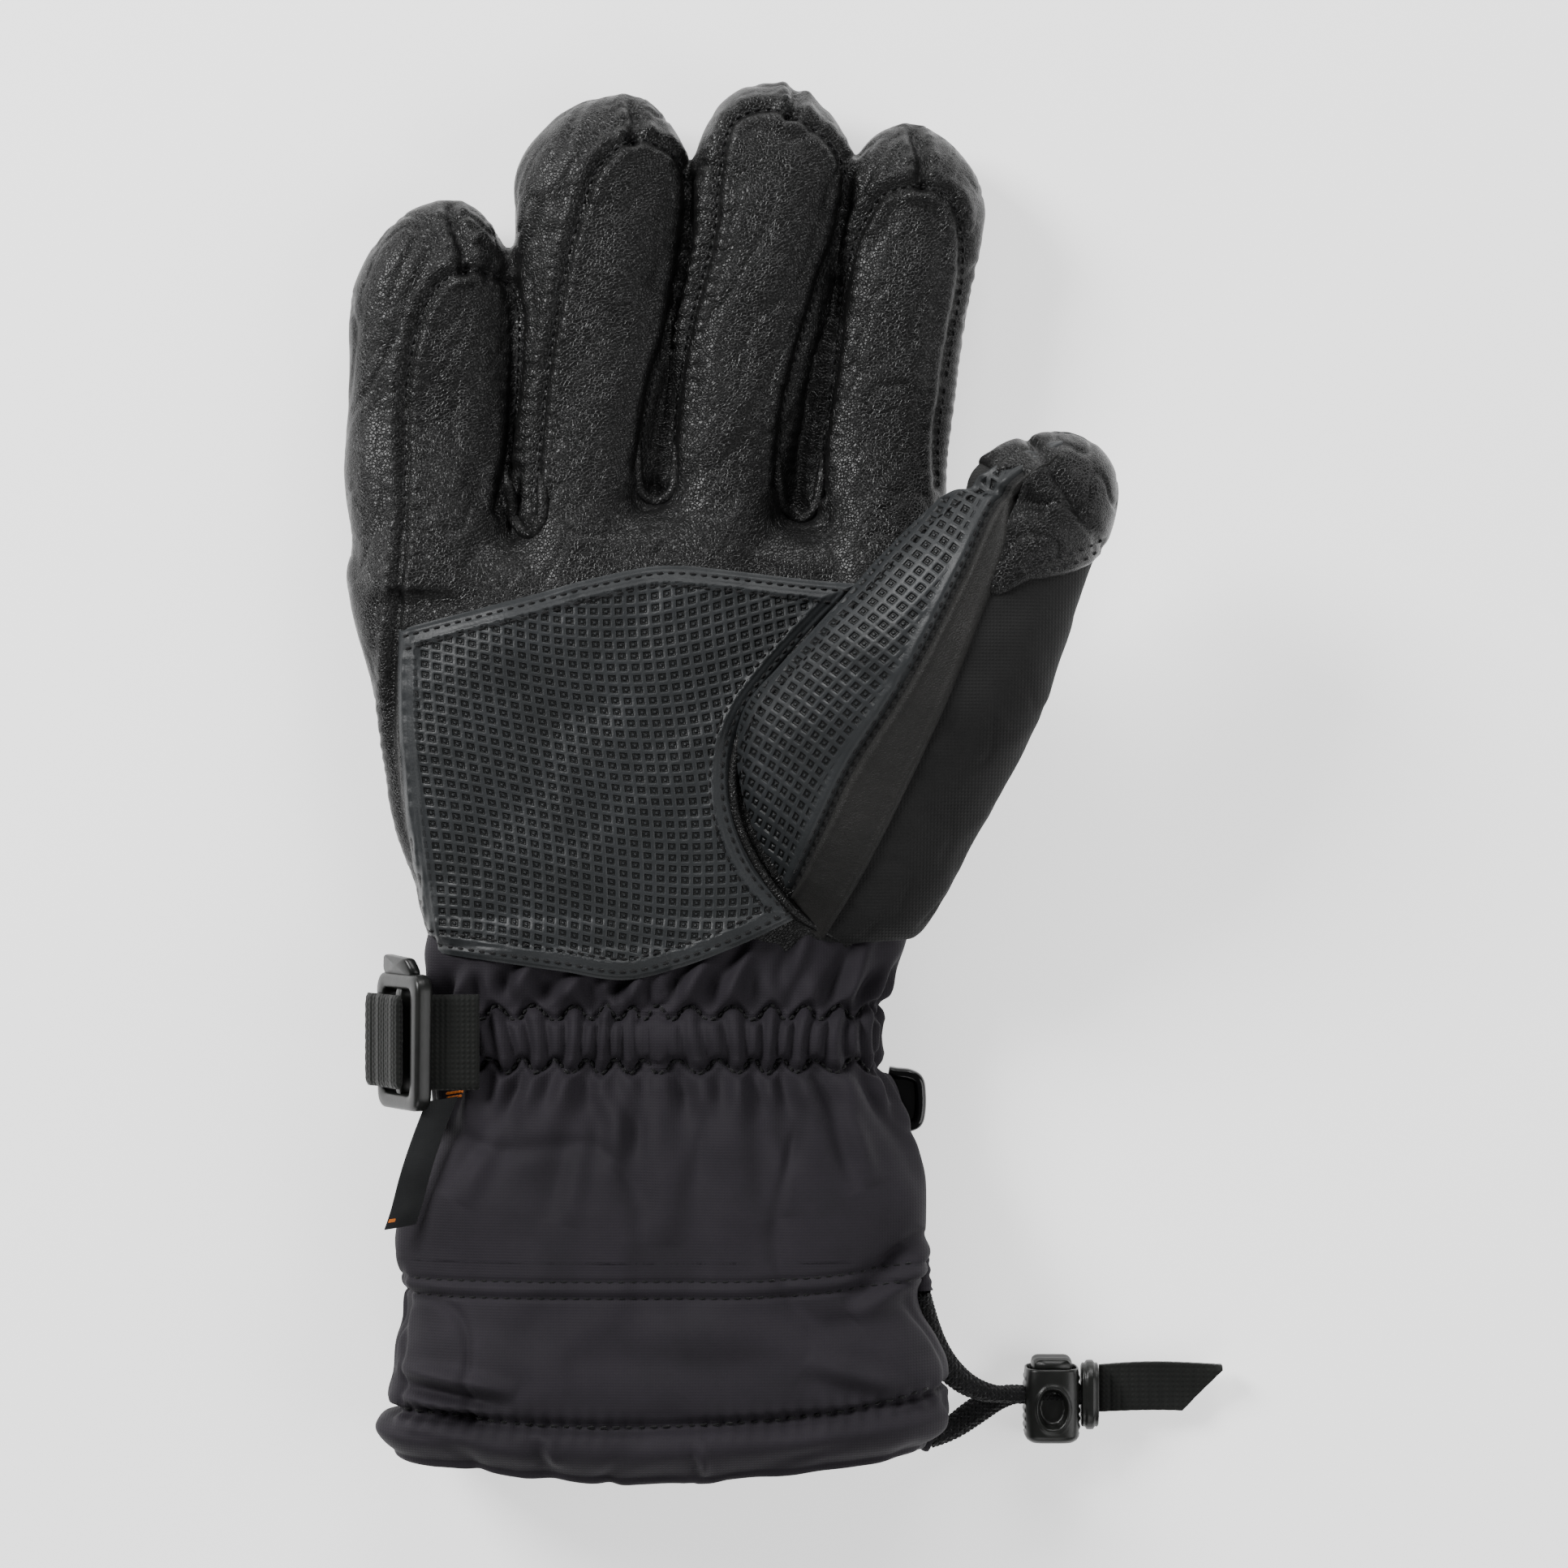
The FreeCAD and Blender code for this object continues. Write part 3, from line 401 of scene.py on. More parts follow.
def moulded(name, dark, light, roughness, grain=0.00005):
    """Moulded plastic or bright metal with a fine grain."""
    made = Nodes(name, roughness, specular=0.35)
    made.base(made.ramp(made.noise(90.0, 3.0), 0.3, 0.7, dark, light))
    made.bump(made.noise(2200.0, 2.0), grain, 0.5)
    made.spread_roughness(made.noise(300.0, 3.0), roughness - 0.06, roughness + 0.08)
    return made.material


LEATHER = leather("black_leather", colour(12, 12, 12), colour(19, 19, 19), 0.33)
MATTE_LEATHER = leather("gusset_leather", colour(26, 26, 25), colour(33, 32, 31), 0.55, 1900.0)
EMBOSSED = embossed("embossed_leather", colour(31, 33, 34), colour(40, 42, 44), colour(7, 8, 8))
SOFTSHELL = woven("softshell_knit", colour(28, 28, 28), colour(38, 38, 38), 0.0007, 0.00016, 0.85, 0.02)
NYLON = woven("nylon_weave", colour(31, 29, 33), colour(39, 36, 41), 0.0006, 0.00007, 0.72, 0.02)
LINING = woven("fleece_lining", colour(30, 30, 32), colour(44, 44, 47), 0.0012, 0.0005, 0.95, 0.3)
WEBBING = woven("webbing_ribs", colour(16, 17, 16), colour(26, 27, 25), 0.0011, 0.0002, 0.7)
THREAD = woven("stitch_thread", colour(15, 15, 16), colour(26, 26, 27), 0.0004, 0.0001, 0.6)
ORANGE_THREAD = woven("accent_thread", colour(176, 92, 34), colour(206, 120, 50), 0.0004, 0.0001, 0.6)
CORD = woven("braided_cord", colour(18, 18, 19), colour(32, 32, 33), 0.0008, 0.0003, 0.75)
PLASTIC = moulded("moulded_plastic", colour(13, 14, 13), colour(21, 22, 20), 0.36)
GLOSS_PLASTIC = moulded("glossy_plastic", colour(6, 6, 7), colour(11, 11, 12), 0.14)
STEEL = moulded("spring_steel", colour(150, 150, 152), colour(190, 190, 192), 0.3)

# ---------------------------------------------------------------- hand and fingers

# Each finger in plan: (y, centre x, half width) up to where its round tip starts, then the
# length of the tip, the x of its end and how far its leather stands above the rest plane.
FINGER_PLANS = {
    "little": (
        [(40, -49, 16.5), (52, -49.5, 17.4), (66, -50.8, 18.2), (80, -50.4, 17.6), (101, -50.2, 17.6)],
        24.2, -46.9, 25,
    ),
    "ring": (
        [(40, -18, 14.5), (52, -18, 14.3), (66, -18.2, 14.6), (94, -15.5, 17), (125.6, -13.8, 19.0)],
        21.6, -11.0, 26.5,
    ),
    "middle": (
        [(40, 12, 13.5), (52, 12.6, 13.2), (66, 13.6, 13.2), (97, 17.5, 15.5), (128.8, 23, 17.5)], 21.2,
        21.9, 27,
    ),
    "index": (
        [(40, 44.5, 15), (52, 45.2, 14.6), (66, 46.2, 14), (94, 49, 14.1), (122, 53.2, 14.8)], 19.0,
        51.4, 26,
    ),
}
PALM_TOP = 33.0
PALM_END = 58
HAND_MIDDLE = 14  # height of the widest part of the hand
SIDE_SEAM = 9  # height of the seam between the leather and the softshell back
UPPER_FROM = 0.55  # where a finger's upper segment starts, as a share of the way between its folds
# (y, left, right) of the palm, measured from the outline in the same way as the sleeve
PALM_EDGES = [
    (-42, -48.4, 44), (-36, -50.2, 47), (-23, -53.2, 51), (-9, -57.0, 55), (4.5, -59.0, 56.5),
    (18, -61.9, 58), (32, -65.6, 59), (45, -67.6, 60), (58, -68.6, 60.2),
]
CROTCHES = [(-70, 50), (-49, 49), (-31, 53), (-17, 56), (-2.4, 61), (13, 60), (28.6, 57), (46, 53), (64, 51)]


def section(columns, exponent):
    """Points round a superellipse of half width 1 and half height 1."""
    angle = np.linspace(0, 2 * np.pi, columns, endpoint=False)
    return power(np.cos(angle), 2 / exponent), power(np.sin(angle), 2 / exponent)


def tube_points(y, centre, half, low, high, exponent, columns):
    """A tube along Y, one section for each place, between its side and height limits."""
    across, up = section(columns, exponent)
    middle = (low + high) / 2
    tall = (high - low) / 2
    points = np.zeros((len(y), columns, 3))
    points[..., 0] = centre[:, None] + half[:, None] * across
    points[..., 1] = y[:, None]
    points[..., 2] = middle[:, None] + tall[:, None] * up
    return points


def finger_points(name):
    """A finger as a closed tube with a round tip."""
    knots, tip, end_x, top = FINGER_PLANS[name]
    last = knots[-1]
    body = np.linspace(knots[0][0], last[0], 90, endpoint=False)
    turn = np.sin(np.linspace(0, np.pi / 2, 34))
    y = np.concatenate([[knots[0][0]], body, last[0] + tip * turn])
    into = ramp(y - last[0], tip)
    shape = smooth_curve(knots, np.minimum(y, last[0]))
    centre = shape[:, 0] + (end_x - last[1]) * into**1.3
    half = shape[:, 1] * np.sqrt(1 - into**2)
    half[0] = 0
    high = smooth_curve(
        [(40, 32), (52, 30), (62, 27.4), (72, top), (90, top), (140, top - 0.5), (150, top - 1)], y,
    )[:, 0]
    low = smooth_curve([(40, 2), (60, 0.8), (80, 0.3), (150, 0.3)], y)[:, 0]
    middle = 0.47 * top
    tall = np.sqrt(1 - into**2.3)
    tall[0] = 0
    return tube_points(
        y, centre, half, middle + (low - middle) * tall, middle + (high - middle) * tall, 2.35, 96,
    )


def hand_points():
    """The hand as a closed tube, its far end drawn out between the fingers."""
    y = np.concatenate([[-42], np.linspace(-42, 50, 110), 50 + 8 * np.sin(np.linspace(0.05, np.pi / 2, 18))])
    edges = smooth_curve(PALM_EDGES, y)
    into = ramp(y - (PALM_END - 8), 8)
    tall = np.sqrt(1 - into**2)
    tall[0] = 0
    high = smooth_curve([(-42, 31.5), (-30, 32.6), (10, PALM_TOP), (30, 32.6), (45, 30.5), (58, 27)], y)[:, 0]
    half = (edges[:, 1] - edges[:, 0]) / 2 - 5 * (1 - tall)
    half[0] = 0
    # the end at the wrist tucks inside the nylon sleeve
    tuck = 5 * ramp(-30 - y, 9)
    half = np.maximum(half - 0.8 * tuck, 0)
    low = HAND_MIDDLE - HAND_MIDDLE * tall + tuck
    high = HAND_MIDDLE + (high - HAND_MIDDLE) * tall - 0.8 * tuck
    points = tube_points(y, edges.sum(axis=1) / 2, half, low, high, 3.4, 240)
    reach = ramp(points[..., 1] - 25, 33) ** 2
    ends = np.interp(points[..., 0], [c[0] for c in CROTCHES], [c[1] for c in CROTCHES])
    points[..., 1] += reach * (ends - PALM_END)
    return points


def joined(name, grids, voxel):
    """Closed grids merged into one skin by a voxel remesh, as (vertices, quads)."""
    parts = [grid_object(name + "_part", points, closed=True) for points in grids]
    bpy.ops.object.select_all(action="DESELECT")
    for part in parts:
        part.select_set(True)
    bpy.context.view_layer.objects.active = parts[0]
    bpy.ops.object.join()
    whole = parts[0]
    remesh = whole.modifiers.new("skin", "REMESH")
    remesh.mode = "VOXEL"
    remesh.voxel_size = voxel * MM
    mesh = whole.evaluated_get(bpy.context.evaluated_depsgraph_get()).to_mesh()
    vertices = np.zeros(len(mesh.vertices) * 3)
    mesh.vertices.foreach_get("co", vertices)
    quads = np.zeros(len(mesh.loops), int)
    mesh.loops.foreach_get("vertex_index", quads)
    bpy.data.objects.remove(whole, do_unlink=True)
    return vertices.reshape(-1, 3) / MM, quads.reshape(-1, 4)


def relaxed(vertices, quads, rounds, amount):
    """Vertices drawn towards their neighbours; amount is one share for each vertex."""
    edges = np.concatenate([quads[:, [0, 1]], quads[:, [1, 2]], quads[:, [2, 3]], quads[:, [3, 0]]])
    edges = np.unique(np.sort(edges, axis=1), axis=0)
    count = len(vertices)
    degree = np.bincount(edges.ravel(), minlength=count)[:, None]
    for _ in range(rounds):
        total = np.zeros_like(vertices)
        for axis in range(3):
            total[:, axis] = np.bincount(edges[:, 0], vertices[edges[:, 1], axis], count)
            total[:, axis] += np.bincount(edges[:, 1], vertices[edges[:, 0], axis], count)
        vertices = vertices + amount * (total / degree - vertices)
    return vertices


def quad_normals(vertices, quads):
    """Unit normals at vertices, from the quads round them."""
    faces = np.cross(
        vertices[quads[:, 2]] - vertices[quads[:, 0]], vertices[quads[:, 3]] - vertices[quads[:, 1]],
    )
    normal = np.zeros_like(vertices)
    for axis in range(3):
        for corner in range(4):
            normal[:, axis] += np.bincount(quads[:, corner], faces[:, axis], len(vertices))
    return unit(normal, TINY)


# Seams on the palm side, in plan. Each finger has a front panel whose outline runs up one
# side, round under the tip and down the other; a short seam then crosses the tip.
SEAMS = [
    [
        (-52, -30), (-56.5, 0), (-58, 20), (-56.5, 35.5), (-55, 60), (-54.3, 89), (-52, 98),
        (-50, 102.8), (-46.5, 107), (-42.2, 108.8), (-37.5, 108.6), (-33.6, 107), (-31.7, 101),
        (-31.5, 89), (-33.5, 70), (-35, 58),
    ],
    [
        (-27.5, 58), (-26.7, 70), (-25.5, 83.8), (-22.4, 102.8), (-18.1, 120), (-12.9, 132),
        (-6.9, 136), (-1.5, 135.5), (1.7, 133.8), (4.4, 128.6), (4.6, 118.3), (1, 98), (-3, 83.8),
        (-5.8, 66.5),
    ],
    [
        (1.5, 66), (2.2, 80.3), (5.2, 97.6), (10.3, 118.3), (11.7, 132), (14.7, 140.7),
        (20.7, 143.1), (28.4, 140.7), (34.5, 136.4), (38.4, 129.5), (37.9, 121.7), (32.8, 106.2),
        (28.4, 92.4), (24.8, 76.9), (24.3, 63.1),
    ],
    [
        (32.8, 61.7), (33.6, 73.4), (36.2, 92.4), (37.9, 106.2), (41.4, 118.3), (46.5, 125.2),
        (54.3, 126.4), (60.3, 124.3), (63, 116.5), (63.2, 109.6), (61.5, 97.6), (59.6, 85.5),
        (58, 73.4), (58, 63.1),
    ],
]
TIP_SEAMS = [
    [(-42.2, 108.8), (-42.6, 113), (-44.6, 118.5), (-46, 123)],
    [(-6.9, 136), (-6, 140), (-7.2, 144.5)],
    [(26.5, 141.3), (28, 145), (27.6, 148)],
    [(54.3, 126.4), (54.5, 131), (52.8, 138.5)],
]


def seam_relief(points, lines, depth, width, lip):
    """A valley along lines drawn in plan, with a puckered lip to each side."""
    relief = np.zeros(len(points))
    for line in lines:
        curve = smooth_line(line, 2.0)
        low, high = curve.min(axis=0) - 8, curve.max(axis=0) + 8
        near = np.all((points[:, :2] > low) & (points[:, :2] < high), axis=1)
        if not near.any():
            continue
        distance, along = near_line(points[near, :2], curve)
        pucker = 1 + 0.35 * np.sin(along * 2.1 + 1.5 * np.sin(along * 0.37))
        value = -depth * bell(distance, width)
        value += lip * pucker * bell(distance - 2.4 * width, 1.2 * width)
        relief[near] += value
    return relief


def leather_relief(points):
    """Lumps, soft wrinkles and small creases of padded leather, in millimetres."""
    skewed = points @ np.array([[0.9, 0.35, 0], [-0.45, 0.8, 0], [0, 0, 1]])
    stretched = skewed * np.array([1.0, 0.45, 1.0])
    relief = 1.5 * rough(points, 26, 2)
    relief += 0.5 * rough(points, 9, 2, 5.0)
    roots = bell(points[:, 1] - 57, 13)
    tips = ramp(points[:, 1] - 92, 24)
    loose = np.clip(3 * noise(points, 30, 4.0) - 1.2, 0, 1)
    relief += (0.34 + 0.3 * tips) * creases(stretched, 7.5, 2.0) * np.maximum(loose, 0.6 * tips)
    relief += (
        0.26 * creases(stretched, 3.6, 9.0)
        * np.clip(3 * noise(points, 22, 8.0) - 1.1 + 0.8 * roots + 0.5 * tips, 0, 1)
    )
    relief += 0.22 * roots * creases(points * np.array([0.6, 1, 1]), 4.6, 6.0)
    return relief


# each web between two fingers: (y, centre x, half width)
WEBS = [
    [(44, -31.6, 0), (50, -31.4, 6), (92, -33.2, 6)], [(44, -4, 0), (52, -3.4, 7), (104, -2.5, 6)],
    [(44, 28.5, 0), (52, 28.3, 7), (112, 38, 5)],
]


def web_points(knots):
    """The doubled leather between two fingers, low down, that closes the gap between them."""
    y = np.concatenate([[knots[0][0]], np.linspace(knots[0][0], knots[-1][0], 60), [knots[-1][0]]])
    shape = smooth_curve(knots, y)
    into = ramp(y - knots[-1][0] + 14, 14)
    half = shape[:, 1] * np.sqrt(np.clip(1 - into**2, 0, 1))
    half[0] = half[-1] = 0
    low, high = np.full(len(y), 4.0), 17 - 3 * into
    low[0] = low[-1] = high[0] = high[-1] = 12
    return tube_points(y, shape[:, 0], half, low, high, 2.4, 40)


VOXEL = 0.75
glove_parts = [hand_points()] + [finger_points(name) for name in FINGERS] + [web_points(web) for web in WEBS]
skin, skin_quads = joined("glove_skin", glove_parts, VOXEL)
if np.sum(quad_normals(skin, skin_quads) * (skin - skin.mean(axis=0))) < 0:
    skin_quads = skin_quads[:, ::-1]
rounds = 12
skin = relaxed(skin, skin_quads, rounds, 0.5)
at_roots = bell(skin[:, 1] - 53, 9)[:, None]
skin = relaxed(skin, skin_quads, 3 * rounds, 0.6 * at_roots)
outward = quad_normals(skin, skin_quads)
facing_up = np.clip(outward[:, 2] * 2.5 + 0.3, 0, 1)
relief = facing_up * seam_relief(skin, SEAMS, 1.1, 1.0, 0.5)
relief += facing_up * seam_relief(skin, TIP_SEAMS, 1.6, 1.1, 0.7)
relief += leather_relief(skin) * (0.35 + 0.65 * ramp(skin[:, 2], 14))
# the side seam between the leather and the softshell back
relief -= 0.8 * bell(skin[:, 2] - SIDE_SEAM, 0.9) * (1 - np.abs(outward[:, 2])) * (skin[:, 1] < 100)
skin = skin + outward * relief[:, None]
skin[:, 2] = np.maximum(skin[:, 2], 0.1)

FOLDS = {}
for name in FINGERS + ["thumb"]:
    folds = ("base", "tip") if name == "thumb" else ("knuckle", "middle")
    spots = [np.array(JOINTS[f"{name}_{fold}_fold"]["pos_m"]) / MM for fold in folds]
    length = np.linalg.norm(spots[1] - spots[0])
    FOLDS[name] = (spots[0], (spots[1] - spots[0]) / length, length)

# how far before its first fold a finger's pieces and their seam stitches start
KNUCKLE_REACH = 10.5


def bend_digit(item):
    """Bake the placement of a piece of a digit into its mesh."""
    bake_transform(item)


# which digit segment each face belongs to: twice the finger's number, one more past its middle fold
middles = skin[skin_quads].mean(axis=1)
owner = np.full(len(middles), -1)
nearest = np.full(len(middles), 1e9)
for number, name in enumerate(FINGERS):
    base, along, length = FOLDS[name]
    forward = (middles - base) @ along
    aside = np.abs((middles[:, 0] - base[0]) - along[0] * forward)
    closer = (forward > -KNUCKLE_REACH) & (aside < nearest) & (aside < 24)
    beyond = forward > UPPER_FROM * length
    nearest = np.where(closer, aside, nearest)
    owner = np.where(closer, 2 * number + beyond, owner)
is_back = (middles[:, 2] < SIDE_SEAM) & (outward[skin_quads].mean(axis=1)[:, 2] < 0.75)
at_tip = np.zeros(len(middles), bool)
for number, name in enumerate(FINGERS):
    knots, tip, _, _ = FINGER_PLANS[name]
    at_tip |= (owner == 2 * number + 1) & (middles[:, 1] > knots[-1][0] + 0.35 * tip)
is_back &= ~at_tip

HAND_NODES = {
    "palm": ("palm_leather", "hand_edge_strip", "finger_webs"),
    "back": ("hand_back", "thumb_side_wall", "hand_insulation", "waterproof_membrane", "hand_lining"),
}
for code in range(-1, 2 * len(FINGERS)):
    for side, material, slot in (("palm", LEATHER, "leather"), ("back", SOFTSHELL, "softshell")):
        chosen = skin_quads[(owner == code) & (is_back == (side == "back"))]
        if code < 0:
            item = dress(quad_object(f"hand_{side}_skin", skin, chosen), material, slot, "hand")
            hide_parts(*HAND_NODES[side])
            continue
        name, part = FINGERS[code // 2], ("lower", "upper")[code % 2]
        item = dress(quad_object(f"{name}_{side}_{part}_skin", skin, chosen), material, slot)
        bend_digit(item)
        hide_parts(f"{name}_{side}_panel_{part}")
        if side == "back":
            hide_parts(f"{name}_lining_{part}")

skin_tree = BVHTree.FromPolygons([Vector(v) for v in skin], [tuple(q) for q in skin_quads])


def dropped(xy, tree, start=200.0):
    """Heights and normals of a surface under points in plan."""
    heights = np.zeros(len(xy))
    normals = np.tile([0.0, 0.0, 1.0], (len(xy), 1))
    for number, (x, y) in enumerate(xy):
        hit, normal, _, _ = tree.ray_cast(Vector((x, y, start)), Vector((0, 0, -1)))
        if hit is not None:
            heights[number] = hit.z
            normals[number] = normal if normal.z > 0 else -normal
    return heights, normals

# ---------------------------------------------------------------- the thumb

# Across and along the thumb: (along, centre, half width, middle height, half thickness).
THUMB_ALONG = FOLDS["thumb"][1]
THUMB_AXIS = np.array([THUMB_ALONG[0], THUMB_ALONG[1]]) / np.linalg.norm(THUMB_ALONG[:2])
THUMB_ASIDE = np.array([THUMB_AXIS[1], -THUMB_AXIS[0]])
THUMB_START = np.array([43.9, 5.0])
THUMB_SHAPE = [
    (-38, 9, 6, 26, 6), (-28, 7.5, 19, 27, 13), (-18, 3, 25, 29.5, 17), (-6, -0.5, 27.2, 33, 18.5),
    (8, 0.2, 25.8, 40, 18), (20, 0.8, 24.2, 46, 17.5), (35, 1.2, 21.4, 49, 17),
    (50, 1.3, 17.9, 49.5, 15.6), (60, 1.8, 15.2, 49.5, 13.2),
]
THUMB_BODY = 60.0  # where the round tip starts
THUMB_TIP = 18.0
THUMB_LAST = 77.9
THUMB_POWER = 2.15


def thumb_closing(along, least=0.0):
    """The share of its full section that the thumb has, as it closes at its two ends."""
    into = ramp(along - THUMB_BODY, THUMB_TIP)
    return np.sqrt(np.clip(1 - into**1.8, least, 1)) * np.sqrt(np.clip((along + 42) / 14, least, 1))


def thumb_surface(along, angle):
    """Points of the thumb's skin at places along it and round it; both are arrays."""
    shape = smooth_curve(THUMB_SHAPE, np.minimum(along.ravel(), THUMB_BODY)).reshape(along.shape + (4,))
    into = ramp(along - THUMB_BODY, THUMB_TIP)
    closing = thumb_closing(along)
    across, up = power(np.cos(angle), 2 / THUMB_POWER), power(np.sin(angle), 2 / THUMB_POWER)
    aside = shape[..., 0] + 1.6 * into**1.5 + shape[..., 1] * closing * across
    plan = THUMB_START + along[..., None] * THUMB_AXIS + aside[..., None] * THUMB_ASIDE
    high = shape[..., 2] + shape[..., 3] * closing * up
    return np.concatenate([plan, high[..., None]], axis=-1)


def thumb_normals(along, angle):
    """Unit normals of the thumb's skin, from points a little way to each side."""
    nearby = thumb_surface(along, angle + 0.02) - thumb_surface(along, angle - 0.02)
    ahead = thumb_surface(np.minimum(along + 0.3, THUMB_LAST), angle) - thumb_surface(along - 0.3, angle)
    return unit(np.cross(ahead, nearby), TINY)


def thumb_local(points):
    """How far along the thumb and to its side points lie, in plan."""
    plan = points[..., :2] - THUMB_START
    return plan @ THUMB_AXIS, plan @ THUMB_ASIDE


def grid_relief(points, normals, relief):
    """Points moved out along their normals."""
    return points + normals * relief[..., None]


def band_of(value, low, high, soft):
    """1 between two values and 0 away from them, with soft ends."""
    return ramp(value - low, soft) * ramp(high - value, soft)


def thumb_relief(points):
    """Lumps and creases of the thumb's cover, with the folds where its tip cap starts."""
    along, aside = thumb_local(points)
    relief = 1.3 * rough(points, 24, 2, 6.0) + 0.4 * rough(points, 8, 2, 3.0)
    relief += (
        0.3 * creases(points * np.array([1, 0.6, 1]), 8, 5.0)
        * np.clip(3 * noise(points, 24, 2.0) - 1.3, 0, 1)
    )
    # the fold that runs across the thumb where the tip cap starts
    relief -= 1.6 * bell(along - 61 - 0.25 * aside, 1.5) * (aside < 4)
    relief -= 1.3 * bell(along - 69 + 0.5 * aside, 1.4) * ramp(along - 60, 3)
    relief += 1.2 * bell(aside + 3 - 0.35 * (along - 64), 2.6) * band_of(along, 57, 76, 5)
    return relief


THUMB_ROWS = {"lower": (-42.0, 18.0, 110), "upper": (18.0, THUMB_BODY + THUMB_TIP, 120)}


def thumb_places(part):
    """Places along one segment of the thumb, closer together towards its tip."""
    low, high, rows = THUMB_ROWS[part]
    places = np.linspace(low, high, rows)
    if part == "upper":
        places = low + (high - low) * np.sin(np.linspace(0, np.pi / 2, rows)) ** 0.93
        places[-1] = high
    return places


def finish_thumb(item, part, material, slot, *nodes):
    """Give a piece of the thumb its material and the CAD nodes it stands for; part is not used."""
    dress(item, material, slot)
    bend_digit(item)
    if nodes:
        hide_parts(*nodes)


SHELL_NODES = {
    "lower": ("thumb_root", "thumb_back_panel_lower", "thumb_lining_lower"),
    "upper": ("thumb_back_panel_upper", "thumb_lining_upper"),
}
for part in ("lower", "upper"):
    angles = np.linspace(0, 2 * np.pi, 200, endpoint=False)
    along, angle = np.meshgrid(thumb_places(part), angles, indexing="ij")
    points = thumb_surface(along, angle)
    shell = grid_relief(points, thumb_normals(along, angle), thumb_relief(points))
    body = grid_object("thumb_shell_" + part, shell, closed=True)
    finish_thumb(body, part, SOFTSHELL, "softshell", *SHELL_NODES[part])

# Overlays on the thumb: each lies between two lines of (along, aside), left and right.
STRIP_LEFT = [(-38, 0), (-20, -1.6), (-6, -3), (16, -2.6), (41, -4.2), (60, -5.6), (70, -3.4), (78, 0)]
STRIP_RIGHT = [
    (-38, 11), (-20, 10.6), (-3, 9), (19, 6.5), (35, 3.8), (50, 1.2), (60, -2.5), (70, -1), (78, 1),
]
PATCH_SIDE = [
    (-38, 2), (-28, -15), (-18, -24), (-6, -29), (8, -26.5), (20, -24), (35, -21), (50, -17),
    (60, -12.2), (70, -8.2), (77, -3),
]


def angle_at(along, aside):
    """The angle round the thumb, on its upper side, of a distance to its side."""
    shape = smooth_curve(THUMB_SHAPE, np.minimum(along, THUMB_BODY))
    into = ramp(along - THUMB_BODY, THUMB_TIP)
    closing = thumb_closing(along, 0.0004)
    share = np.clip((aside - shape[:, 0] + 1.5 * into) / (shape[:, 1] * closing), -1, 1)
    return np.arccos(power(share, THUMB_POWER / 2))


def overlay_grid(low, high, left, right, rows, columns, lift):
    """A raised panel on the thumb between two side lines, its edges turned down."""
    places = np.linspace(low, high, rows)
    first = angle_at(places, smooth_curve(left, places)[:, 0])
    second = angle_at(places, smooth_curve(right, places)[:, 0])
    u = np.linspace(0, 1, columns)
    angle = first[:, None] + (second - first)[:, None] * u
    along = np.broadcast_to(places[:, None], angle.shape)
    points = thumb_surface(along, angle)
    normals = thumb_normals(along, angle)
    width = np.linalg.norm(np.diff(points, axis=1), axis=2).sum(axis=1)[:, None]
    edge = np.minimum(u, 1 - u) * width
    rise = lift * (1 - bell(edge, 1.0)) + 0.35 * bell(edge - 1.6, 0.8) - 0.5 * bell(edge, 0.5)
    return points, normals, thumb_relief(points) + rise, edge


CELL = 2.55


def wavy_cells(points, offset=0.0):
    """Counts of embossed squares along two gently curving directions."""
    x, y = points[..., 0], points[..., 1]
    bend = 5.0 * np.sin((x + 0.35 * y + 30) / 19.0 + offset)
    lean = 3.2 * np.sin((y - 0.25 * x - 12) / 21.0 + offset)
    return (x + lean) / CELL + 40, (y + bend) / (0.92 * CELL) + 40


def square_relief(first, second, amount):
    """Square rings pressed into the leather, with level centres; amount fades them out."""
    reach = np.maximum(np.abs(first % 1 - 0.5), np.abs(second % 1 - 0.5))
    return -0.34 * amount * bell(reach - 0.2, 0.1)


def cell_values(points, edge, start, offset=0.0):
    """The square counts at points in plan, and how far the pattern has faded in from the edge."""
    return (*wavy_cells(points, offset), ramp(edge - start, 1.0))


def embossed_panel(name, points, normals, relief, edge):
    """A panel of the thumb with the square pattern pressed into it."""
    cells = cell_values(np.stack(thumb_local(points), axis=-1), edge, 2.6, 0.6)
    item = grid_object(name, grid_relief(points, normals, relief + square_relief(*cells)))
    set_attribute(item, "cells", np.stack(cells, axis=-1))
    return item


fine = 1
for part, low, high, rows in (("lower", -36.0, 18.0, 150), ("upper", 18.0, 75.0, 170)):
    size = (rows // fine, 100 // fine)
    points, normals, relief, edge = overlay_grid(low, high, PATCH_SIDE, STRIP_LEFT, *size, 0.5)
    item = embossed_panel("thumb_patch_" + part, points, normals, relief, edge)
    nodes = ["thumb_palm_panel_lower"] if part == "lower" else []
    finish_thumb(item, part, EMBOSSED, "embossed_patch", *nodes)
for part, low, high, rows in (("lower", -37.0, 18.0, 110), ("upper", 18.0, 76.0, 110)):
    size = (rows // fine, 36 // fine)
    points, normals, relief, _ = overlay_grid(low, high, STRIP_LEFT, STRIP_RIGHT, *size, 0.9)
    item = grid_object("thumb_strip_" + part, grid_relief(points, normals, relief))
    finish_thumb(item, part, MATTE_LEATHER, "leather")

